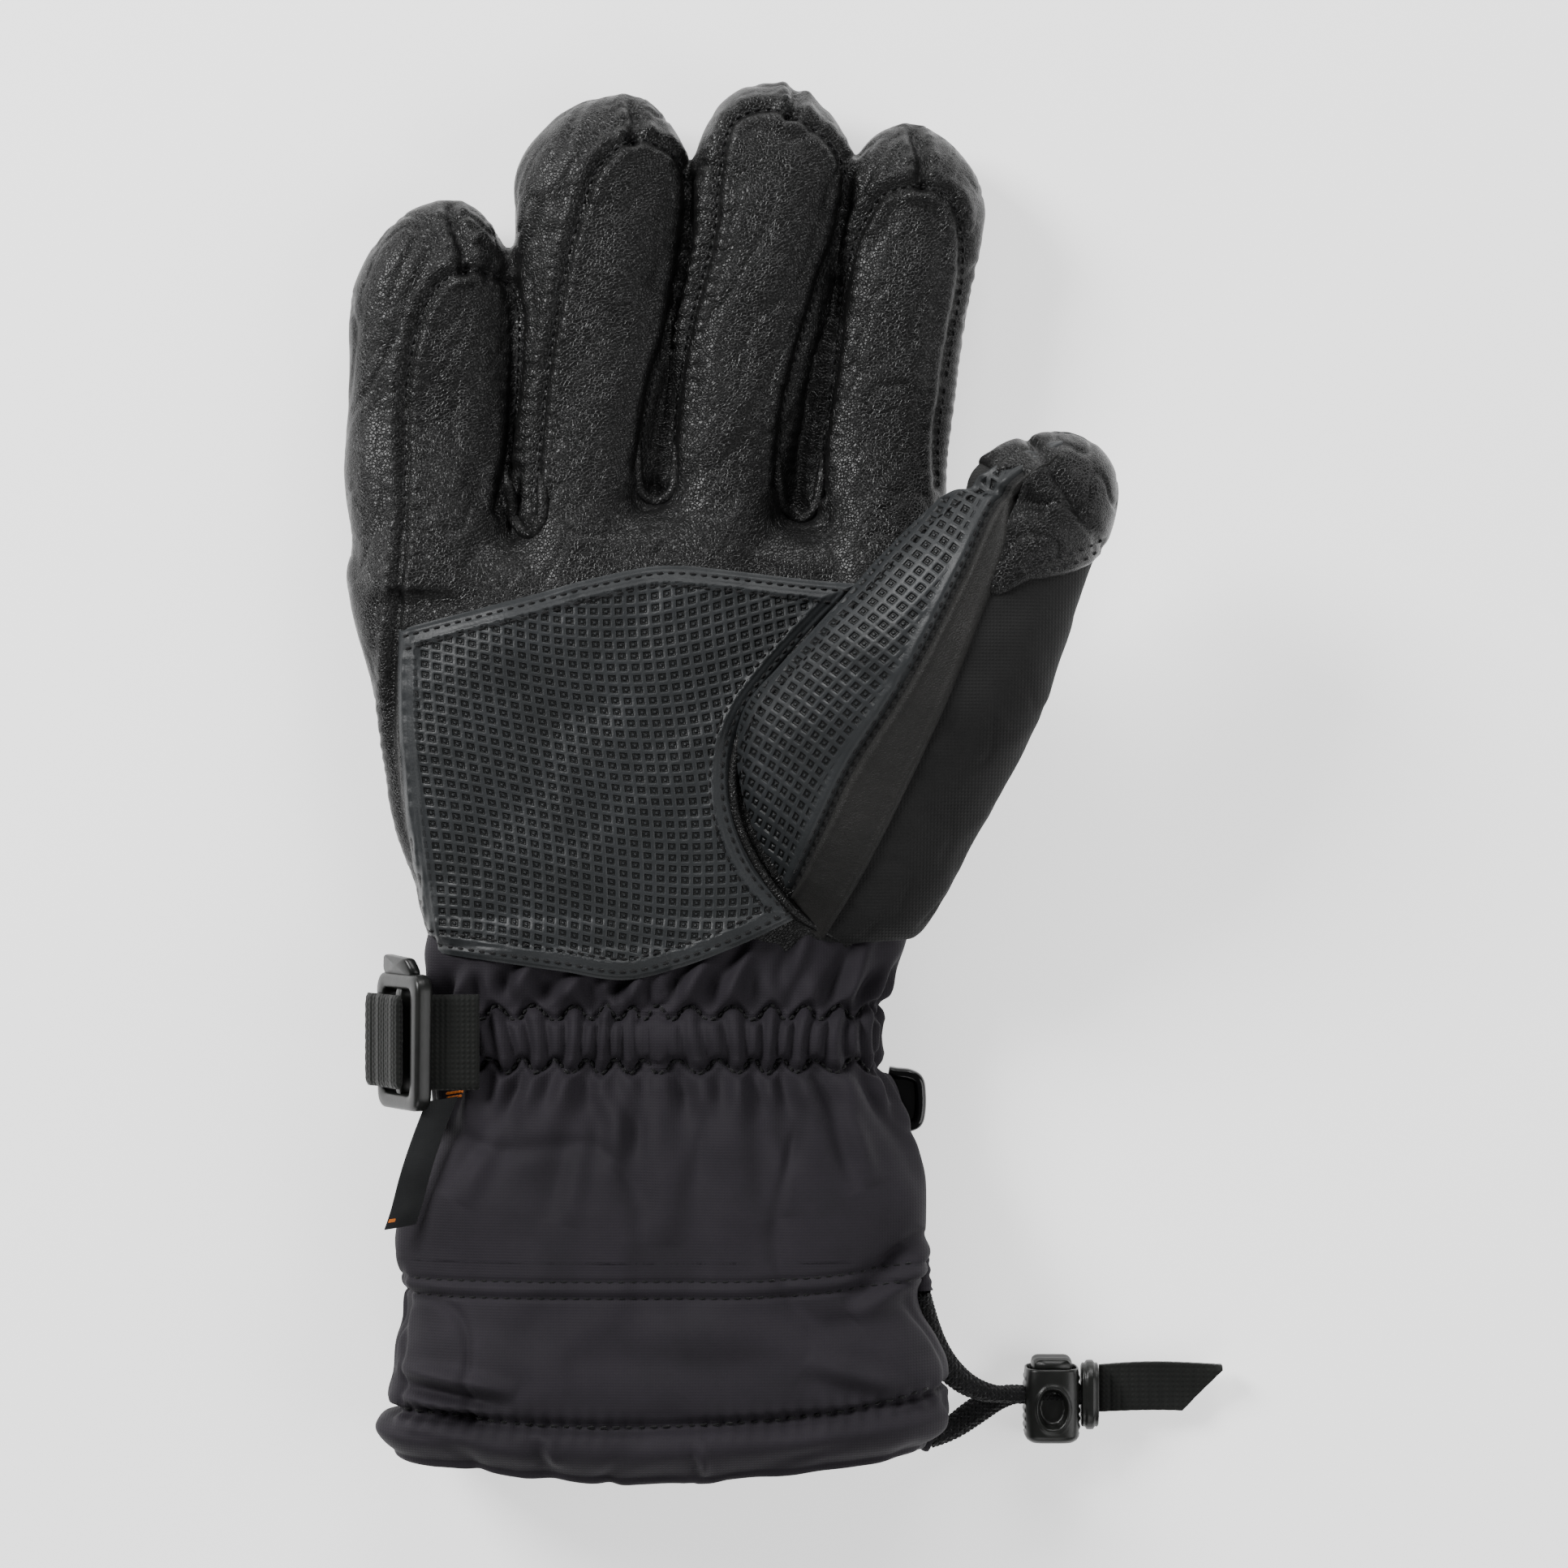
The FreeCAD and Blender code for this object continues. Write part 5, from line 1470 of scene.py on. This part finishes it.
def buckle_spot(x, y, z):
    """The buckle's own plane: x up the wrist's side, y along the glove, z outward."""
    return (
        BUCKLE + np.array(x)[..., None] * UPWARD + np.array(y)[..., None] * np.array([0, 1, 0])
        + np.array(z)[..., None] * OUTWARD
    )


# the free end of the strap lies over the buckle's bars; the strap runs up the wrist's side below
tail_path = [buckle_spot(x, 0.0, 3.0 + 0.25 * math.sin(x)) for x in np.linspace(4.6, -13.0, 8)]
tail = webbing("strap_tail_webbing", tail_path, (0, 1, 0), 19.6, 1.5)
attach(tail, "tail")
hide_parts("strap_tail")
STRAP_Y = -54
strap_path = [
    (-57.2, 19.4), (-57.4, 14), (-57.4, 8), (-57, 4), (-54.5, 1.9), (-50, 1.3), (-30, 1.5),
    (0, 2.0), (22, 2.9), (32, 4.6), (38.5, 8.0), (42.5, 12.5),
]
strap_path = [(x, STRAP_Y, z) for x, z in strap_path]
strap = webbing("wrist_strap_webbing", strap_path, (0, 1, 0), 19.8, 1.35)
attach(strap, "gauntlet")
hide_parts("wrist_strap")
anchor_path = [(-50.5, 35.2), (-48, 35.2), (-45.5, 35.0), (-42, 34.6), (-38.5, 34.0)]
anchor_path = [(x, STRAP_Y, z) for x, z in anchor_path]
anchor = webbing("strap_anchor_webbing", anchor_path, (0, 1, 0), 20, 1.5)
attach(anchor, "gauntlet")
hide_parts("strap_anchor")

bartack_rows = [[(-46, -65.4), (-44, -65.1), (-42.4, -64.9)], [(-45.8, -66.3), (-43.8, -66), (-42.6, -65.8)]]
bartack = stitch_rows("anchor_bartack", bartack_rows, sleeve_tree, 0.8, 1.3, 0.3, material=ORANGE_THREAD)
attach(bartack, "gauntlet")


def lozenge(corner_points, radius, count=6):
    """A closed outline with round corners, as points in its own plane."""
    outline = []
    corner_points = [np.array(point, float) for point in corner_points]
    total = len(corner_points)
    for number, corner in enumerate(corner_points):
        before = corner_points[number - 1] - corner
        after = corner_points[(number + 1) % total] - corner
        before, after = before / np.linalg.norm(before), after / np.linalg.norm(after)
        half = math.acos(np.clip(before @ after, -1, 1)) / 2
        back = radius / math.tan(half)
        start, end = corner + before * back, corner + after * back
        middle = corner + (before + after) / np.linalg.norm(before + after) * (radius / math.sin(half))
        first = math.atan2(*(start - middle)[::-1])
        turn = (math.atan2(*(end - middle)[::-1]) - first + math.pi) % (2 * math.pi) - math.pi
        for share in np.linspace(0, 1, count):
            angle = first + turn * share
            outline.append(middle + radius * np.array([math.cos(angle), math.sin(angle)]))
    return np.array(outline)


def even_outline(points, count):
    """A closed outline cut into evenly spaced points."""
    closed = np.concatenate([points, points[:1]])
    along = lengths_along(closed)
    return read_line(closed, along, np.linspace(0, along[-1], count, endpoint=False))


def frame_piece(name, outside, inside, thick, place, bulge=0.5, count=140):
    """A moulded frame between two outlines, with rounded faces; place maps (x, y, z) to the row frame."""
    outside, inside = even_outline(outside, count), even_outline(inside, count)
    rings = []
    for angle in np.linspace(0, 2 * np.pi, 24, endpoint=False):
        share = 0.5 - 0.5 * power(np.cos(angle), 0.45)
        lift = power(np.sin(angle), 0.45) * thick / 2
        plan_ring = outside * (1 - share) + inside * share
        rings.append(
            np.column_stack([plan_ring, np.full(count, lift * (1 + bulge * 0.3 * np.sin(np.pi * share)))])
        )
    points = np.array(rings)
    points = np.concatenate([points, points[:1]])
    return grid_object(name, place(*np.moveaxis(points, -1, 0)), closed=True)


def moulded_bar(name, low, high, place, soft=0.35):
    """A bar between two corners with softened edges."""
    low, high = np.array(low, float), np.array(high, float)
    u = np.linspace(-np.pi / 2, np.pi / 2, 14)
    v = np.linspace(-np.pi, np.pi, 28, endpoint=False)
    u, v = np.meshgrid(u, v, indexing="ij")
    unit_box = [
        power(np.cos(u), soft) * power(np.cos(v), soft),
        power(np.cos(u), soft) * power(np.sin(v), soft),
    ]
    unit_box = np.stack([*unit_box, power(np.sin(u), soft)], axis=-1)
    points = (low + high) / 2 + unit_box * (high - low) / 2
    return grid_object(name, place(*np.moveaxis(points, -1, 0)), closed=True)


# the ladder buckle: frame, middle bar and a flared tab at its fingertip end
outside = lozenge([(-10.6, -14.3), (10.4, -14.3), (11.2, 14.3), (-11.2, 14.3)], 3.2)
inside = lozenge([(-6.9, -10.8), (6.7, -10.8), (6.9, 10.9), (-7.1, 10.9)], 1.2)
buckle_frame = frame_piece("buckle_frame", outside, inside, 3.6, buckle_spot)
bar = moulded_bar("buckle_bar", (-1.6, -11.6, -1.5), (1.6, 11.6, 1.7), buckle_spot)
flare_outline = lozenge([(-9.4, 13.2), (8.6, 13.2), (5.5, 17.6), (-6.0, 18.2)], 1.6)
flare_points = []
for lift in np.linspace(-1, 1, 7):
    shrink = 1 - 0.12 * abs(lift) ** 3
    centre_spot = flare_outline.mean(axis=0)
    ring = centre_spot + (flare_outline - centre_spot) * shrink
    ring_z = lift * 1.3 + 0.25 * (ring[:, 1] - 13.2)
    flare_points.append(buckle_spot(ring[:, 0], ring[:, 1], ring_z))
flare = grid_object("buckle_flare", capped(flare_points), closed=True)
for item in (buckle_frame, bar, flare):
    dress(item, PLASTIC, "plastic", "buckle")
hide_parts("ladder_buckle")


def same(x, y, z):
    return np.stack([x, y, z], axis=-1)


# the pair clip: a glossy hook standing off a small base
clip_path = [
    (47.6, -61.6, 12.2), (49.5, -61.9, 12.2), (52.0, -62.2, 12.2), (53.9, -63.4, 12.1),
    (54.4, -66.5, 12), (54.3, -70, 12), (53.6, -72.4, 12), (51.4, -73.3, 12), (49, -73.1, 12),
    (47.6, -72.6, 12),
]
curve = through(clip_path, 90)
clip_points = []
heading = np.gradient(curve, axis=0)
heading = unit(heading)
aside = np.cross(heading, [0, 0, 1.0])
for spot, side in zip(curve, aside):
    angle = np.linspace(0, 2 * np.pi, 20, endpoint=False)
    wide = power(np.cos(angle), 0.6) * 1.25
    tall = power(np.sin(angle), 0.6) * 2.6
    clip_points.append(spot + side * wide[:, None] + np.array([0, 0, 1.0]) * tall[:, None])
clip = grid_object("pair_clip_hook", capped(clip_points), closed=True)
clip_plate = moulded_bar("pair_clip_plate", (47.8, -72.6, 11.0), (54.0, -62.4, 13.2), same, 0.3)
dress(clip_plate, GLOSS_PLASTIC, "plastic", "clip")
dress(clip, GLOSS_PLASTIC, "plastic", "clip", "pair_clip")

# the folded side label, plain but for one small orange mark
label_line = [
    (-46.2, -65.8, 35.0), (-49.0, -73, 35.6), (-51.6, -81, 36.0), (-53.6, -88.5, 35.6),
    (-55.0, -92.6, 34.6),
]
curve = through(label_line, 60)
across = np.array([0.86, 0.12, -0.42])
u = np.linspace(-1, 1, 24)
sheet_points = curve[:, None] + across * (u[None, :, None] * 3.7)
swell = 0.7 * (1 - u**2)[None, :, None] + 0.25 * np.sin(curve[:, 1] / 2.2)[:, None, None]
sheet_points = sheet_points + np.array([0, 0, 1.0]) * swell
under = sheet_points[:, ::-1] - np.array([0.1, 0, 0.9])
label_points = np.concatenate([sheet_points, under], axis=1)
label_points[..., 2] += 0.25 * rough(label_points, 6, 2)
label = grid_object("side_label_fold", label_points, closed=True)
label_weave = woven("label_weave", colour(24, 25, 26), colour(34, 35, 36), 0.0005, 0.00005, 0.6)
dress(label, label_weave, "label", "gauntlet", "side_label")
mark = grid_object("side_label_mark", sheet_points[50:54, 1:7] + np.array([0, 0, 0.12]))
dress(mark, ORANGE_THREAD, "label", "gauntlet")

# ---------------------------------------------------------------- drawcord, lock and pull tab

UPPER_STRAND = [
    (54.5, -107.9, 20), (55.5, -116, 16.5), (59.5, -125, 11.5), (67, -131, 8.8), (78.4, -131.5, 8.6),
    (89.2, -131.5, 8.6),
]
LOWER_STRAND = [
    (56.8, -141.5, 4.6), (60.8, -139.8, 3.6), (66.5, -135.5, 3.6), (72.5, -131.7, 4.7),
    (80.9, -131.5, 4.8), (89.2, -131.5, 4.8),
]
CORD_DIAMETER = 0.0034
LOCK_X, CORD_Y, CORD_Z = 82.8, -131.5, 6.7  # the middle of the cord lock
PLATE_X = 89.2


def strand(name, points):
    """A round cord along its control points."""
    curve = bpy.data.curves.new(name, "CURVE")
    curve.dimensions = "3D"
    spline = curve.splines.new("NURBS")
    spline.points.add(len(points) - 1)
    for point, spot in zip(spline.points, points):
        point.co = (spot[0] * MM, spot[1] * MM, spot[2] * MM, 1)
    spline.order_u = 3
    spline.use_endpoint_u = True
    spline.resolution_u = 40
    curve.bevel_depth = CORD_DIAMETER / 2
    curve.bevel_resolution = 6
    curve.use_fill_caps = True
    return dress(linked(name, curve), CORD, "cord", "gauntlet")


def braid(name, points, turns_per_mm=0.17):
    """Raised yarns wound both ways round a strand."""
    controls = np.array(points, float)
    samples = []
    for t in np.linspace(0, 1, 260):
        # the same quadratic spline that the strand follows
        spans = len(controls) - 2
        place = min(t * spans, spans - 1e-6)
        cell, part = int(place), place - int(place)
        a = controls[cell] if cell == 0 else (controls[cell] + controls[cell + 1]) / 2
        b = controls[cell + 1]
        c = controls[cell + 2] if cell == spans - 1 else (controls[cell + 1] + controls[cell + 2]) / 2
        samples.append(a * (1 - part) ** 2 + 2 * b * part * (1 - part) + c * part**2)
    line = np.array(samples)
    along = lengths_along(line)
    heading = np.gradient(line, axis=0)
    heading = unit(heading)
    aside = np.cross(heading, [0, 0, 1.0])
    aside = unit(aside)
    up = np.cross(aside, heading)
    vertices, quads = [], []
    start = 0
    for hand in (1, -1):
        for yarn in range(6):
            angle = hand * 2 * np.pi * (along * turns_per_mm + yarn / 6)
            reach = 1.62 + 0.12 * np.cos(
                along * 2 * np.pi * turns_per_mm * 6 + yarn * np.pi + (hand < 0) * np.pi
            )
            flatness = 1 + 0.6 * np.sin(np.pi * ramp(along / along[-1], 0.64))
            centre = (
                line + aside * (flatness * reach * np.cos(angle))[:, None]
                + up * (reach * np.sin(angle))[:, None]
            )
            out = aside * np.cos(angle)[:, None] + up * np.sin(angle)[:, None]
            run = np.gradient(centre, axis=0)
            run = unit(run)
            flat = np.cross(run, out)
            ring = []
            for turn in np.linspace(0, 2 * np.pi, 6, endpoint=False):
                ring.append(centre + flat * 0.5 * np.cos(turn) + out * 0.2 * np.sin(turn))
            ring = np.stack(ring, axis=1)
            vertices.append(ring.reshape(-1, 3))
            quads.append(grid_faces(len(line), 6, True) + start)
            start += ring.shape[0] * 6
    item = quad_object(name, np.concatenate(vertices), np.concatenate(quads))
    return dress(item, CORD, "cord", "gauntlet")


def lock_place(x, y, z):
    """The lock's own plane: x across the cords, y along them, z up."""
    return np.stack([LOCK_X + np.array(x), CORD_Y + np.array(y), CORD_Z + np.array(z)], axis=-1)


# housing: a shell with a ribbed waist, open at its mouth, and an oval eye sunk into each broad face
around = np.linspace(0, 2 * np.pi, 160, endpoint=False)
wide, tall = power(np.cos(around), 0.5), power(np.sin(around), 0.5)
rows = []
profile = [(-10, 0.02), (-10, 0.5), (-9.9, 0.75), (-9.3, 0.9)]
profile += [(y, 1 - 0.1 * (abs(y + 2) / 9) ** 4) for y in np.linspace(-8.6, 5.4, 44)]
for y, share in profile + [(5.9, 0.95), (6.1, 0.9)]:
    rib = 0.16 * np.sin(y * 3.6) * (np.abs(wide) > 0.96) * (-8 < y < 4.6)
    row = np.stack([(6.0 * share + rib) * wide, np.full(160, y), 6.2 * share * tall], axis=-1)
    eye = ((row[:, 0]) / 2.9) ** 2 + ((row[:, 1] + 2.4) / 4.0) ** 2
    sunk = np.clip(3.2 * (1.15 - eye), 0, 1)
    rim = bell(eye - 1.45, 0.3)
    row[:, 2] += np.sign(row[:, 2]) * (np.abs(row[:, 2]) > 4) * (0.45 * rim - 2.6 * sunk)
    rows.append(row)
for y, share in ((5.9, 0.88), (4.0, 0.88), (2.4, 0.87), (2.0, 0.5), (2.0, 0.02)):
    rows.append(np.stack([6.0 * share * wide, np.full(160, y), 6.2 * share * tall], axis=-1))
housing = grid_object("cord_lock_body", lock_place(*np.moveaxis(np.array(rows), -1, 0)), closed=True)
button_outline = even_outline(lozenge([(-4.4, 4.9), (4.4, 4.9), (4.4, 8.2), (-4.4, 8.2)], 1.4), 80)
rows = []
for lift in np.concatenate([[-4.6], np.linspace(-4.6, 4.6, 16), [4.6]]):
    shrink = 1 - 0.16 * abs(lift / 4.6) ** 4
    middle_spot = np.array([0, 6.5])
    spot = middle_spot + (button_outline - middle_spot) * shrink
    ridge = 0.18 * np.sin(lift * 4.2) * (button_outline[:, 1] > 7.5)
    spot[:, 1] += ridge
    rows.append(np.column_stack([spot, np.full(80, lift)]))
rows[0][:, :2] = [0, 6.5]
rows[-1][:, :2] = [0, 6.5]
button = grid_object("cord_lock_button", lock_place(*np.moveaxis(np.array(rows), -1, 0)), closed=True)
angle = np.linspace(0, 2 * np.pi * 3, 90)
spring_x, spring_z = LOCK_X + 2.4 * np.cos(angle), CORD_Z + 2.4 * np.sin(angle)
spring_line = np.column_stack([spring_x, np.linspace(-138.4, -136.4, 90), spring_z])
spring_heading = np.gradient(spring_line, axis=0)
spring_heading = unit(spring_heading)
radial = np.column_stack([np.cos(angle), np.zeros(90), np.sin(angle)])
other_way = np.cross(spring_heading, radial)
ring_turn = np.linspace(0, 2 * np.pi, 10, endpoint=False)
wire_section = radial[:, None] * np.cos(ring_turn)[None, :, None]
wire_section = wire_section + other_way[:, None] * np.sin(ring_turn)[None, :, None]
spring_points = spring_line[:, None] + 0.4 * wire_section
spring = grid_object("cord_lock_spring_wire", spring_points, closed=True)

# the oval plate that ends the cords
plate_outline = even_outline(lozenge([(-7.5, -4.8), (7.5, -4.8), (7.5, 4.8), (-7.5, 4.8)], 4.6), 90)
rows = []
for number, lift in enumerate(np.concatenate([[0], np.linspace(0, 3.6, 14), [3.6]])):
    share = abs(lift - 1.8) / 1.8
    shrink = (1 - 0.12 * share**3) * (1 - 0.05 * (0.4 < share < 0.7))
    if number in (0, 15):
        shrink = 0.02
    plate_y, plate_z = CORD_Y + plate_outline[:, 0] * shrink, CORD_Z + plate_outline[:, 1] * shrink
    rows.append(np.stack([np.full(90, PLATE_X + lift), plate_y, plate_z], axis=-1))
plate = grid_object("cord_end_plate", np.array(rows), closed=True)

# the pull tab: folded webbing that twists to a slanted end
tab_rows = []
places = np.linspace(0, 1, 110)
for share in places:
    x = 93.2 + share * 26.5
    low_y = -135.4 + 0.4 * math.sin(share * 4)
    high_y = -125.4 + 0.6 * math.sin(share * 3)
    if share > 0.68:
        low_y = low_y + (share - 0.68) / 0.32 * 9.4
    u = np.linspace(0, 1, 24)
    y = low_y + (high_y - low_y) * u
    z = 4.4 + 0.5 * np.sin(u * 3 + share * 6) + 1.6 * np.maximum(0, share - 0.8) * 5 * (1 - u)
    rib = 0.32 * abs(math.sin(share * 26.5 * np.pi / 2.3))
    top_side = np.stack([np.full(24, x), y, z + 0.9 + rib], axis=-1)
    low_side = np.stack([np.full(24, x), y, z - 0.9 - rib], axis=-1)[::-1]
    tab_rows.append(np.concatenate([top_side, low_side]))
tab = grid_object("pull_tab_webbing", capped(tab_rows), closed=True)
dress(tab, WEBBING, "webbing", "tab", "pull_tab")
dress(housing, PLASTIC, "plastic", "cord_lock", "cord_lock_housing")
dress(button, PLASTIC, "plastic", "lock_button", "cord_lock_plunger")
dress(spring, STEEL, "steel", "lock_button", "cord_lock_spring")
dress(plate, PLASTIC, "plastic", "gauntlet", "cord_end")

upper = strand("drawcord_upper_strand", UPPER_STRAND)
lower = strand("drawcord_lower_strand", LOWER_STRAND)
upper_braid = braid("drawcord_upper_braid", UPPER_STRAND)
lower_braid = braid("drawcord_lower_braid", LOWER_STRAND)
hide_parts("drawcord_upper")
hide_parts("drawcord_lower")

# the hem's own short sleeve round the lower strand
exit_line = through([(49, -138.6, 6.4), (53, -140.4, 5.4), (57.2, -141.7, 4.6)], 40)
exit_share = np.linspace(0, 1, 40)
hem_exit = round_tube(
    "hem_cord_sleeve", exit_line, 2.5 + 0.25 * np.sin(exit_share * 16) - 1.2 * (exit_share > 0.97), 28,
)
dress(hem_exit, NYLON, "nylon", "gauntlet")

# the fabric tunnel that the upper strand comes out of: a short folded sleeve with a sewn end
tunnel_rows = []
for share in np.linspace(0, 1, 40):
    y = -100.2 - 7.2 * share
    angle = np.linspace(0, 2 * np.pi, 40, endpoint=False)
    swell = 1 + 0.06 * math.sin(share * 19) + 0.05 * math.sin(share * 7)
    ring_x = 54.2 + 2.6 * swell * np.cos(angle) - 1.0 * (1 - share)
    ring_z = 20.0 + 2.6 * swell * np.sin(angle)
    tunnel_rows.append(np.stack([ring_x, np.full(40, y), ring_z], axis=-1))
tunnel_rows.append(tunnel_rows[-1] + (np.array([54.2, -107.4, 20]) - tunnel_rows[-1]) * [0.3, 0, 0.3])
tunnel = grid_object("drawcord_tunnel_sleeve", np.array(tunnel_rows), closed=True)
dress(tunnel, NYLON, "nylon", "gauntlet", "drawcord_tunnel")

# ---------------------------------------------------------------- stage, light and camera

sheet = bpy.data.meshes.new("floor")
sheet.from_pydata([(-3, -3, 0), (3, -3, 0), (3, 3, 0), (-3, 3, 0)], [], [(0, 1, 2, 3)])
floor = linked("floor", sheet)
backdrop = bpy.data.materials.new("pale_floor")
backdrop.use_nodes = True
backdrop_inputs = backdrop.node_tree.nodes["Principled BSDF"].inputs
backdrop_inputs["Base Color"].default_value = (0.93, 0.93, 0.93, 1)
backdrop_inputs["Roughness"].default_value = 0.9
backdrop_inputs["Emission Color"].default_value = (1, 1, 1, 1)
backdrop_inputs["Emission Strength"].default_value = 0.9
floor.data.materials.append(backdrop)

world = bpy.data.worlds.new("studio")
bpy.context.scene.world = world
world.use_nodes = True
world.node_tree.nodes["Background"].inputs["Color"].default_value = (1, 1, 1, 1)
world.node_tree.nodes["Background"].inputs["Strength"].default_value = 0.14


def area_light(name, place, target, width, watts):
    """A soft square lamp that looks at a target."""
    data = bpy.data.lights.new(name, "AREA")
    data.shape = "RECTANGLE"
    data.size = width
    data.size_y = width
    data.energy = watts
    item = linked(name, data)
    item.location = place
    item.rotation_euler = (Vector(target) - Vector(place)).to_track_quat("-Z", "Y").to_euler()


area_light("key", (-0.85, 0.6, 0.75), (0, 0, 0.02), 0.42, 22)
area_light("fill", (0.95, -0.25, 0.8), (0, 0, 0.02), 0.8, 8)
area_light("rim", (0.25, 1.05, 0.6), (0, 0.05, 0.02), 0.6, 10)
area_light("front", (-0.15, -1.1, 0.8), (0, 0, 0.02), 0.8, 5)

camera_data = bpy.data.cameras.new("camera")
camera_data.lens = 100
camera_data.sensor_width = 36
camera = linked("camera", camera_data)
camera.location = (0.0252, 0.0, 0.945)
camera.rotation_euler = (0, 0, 0)
bpy.context.scene.camera = camera
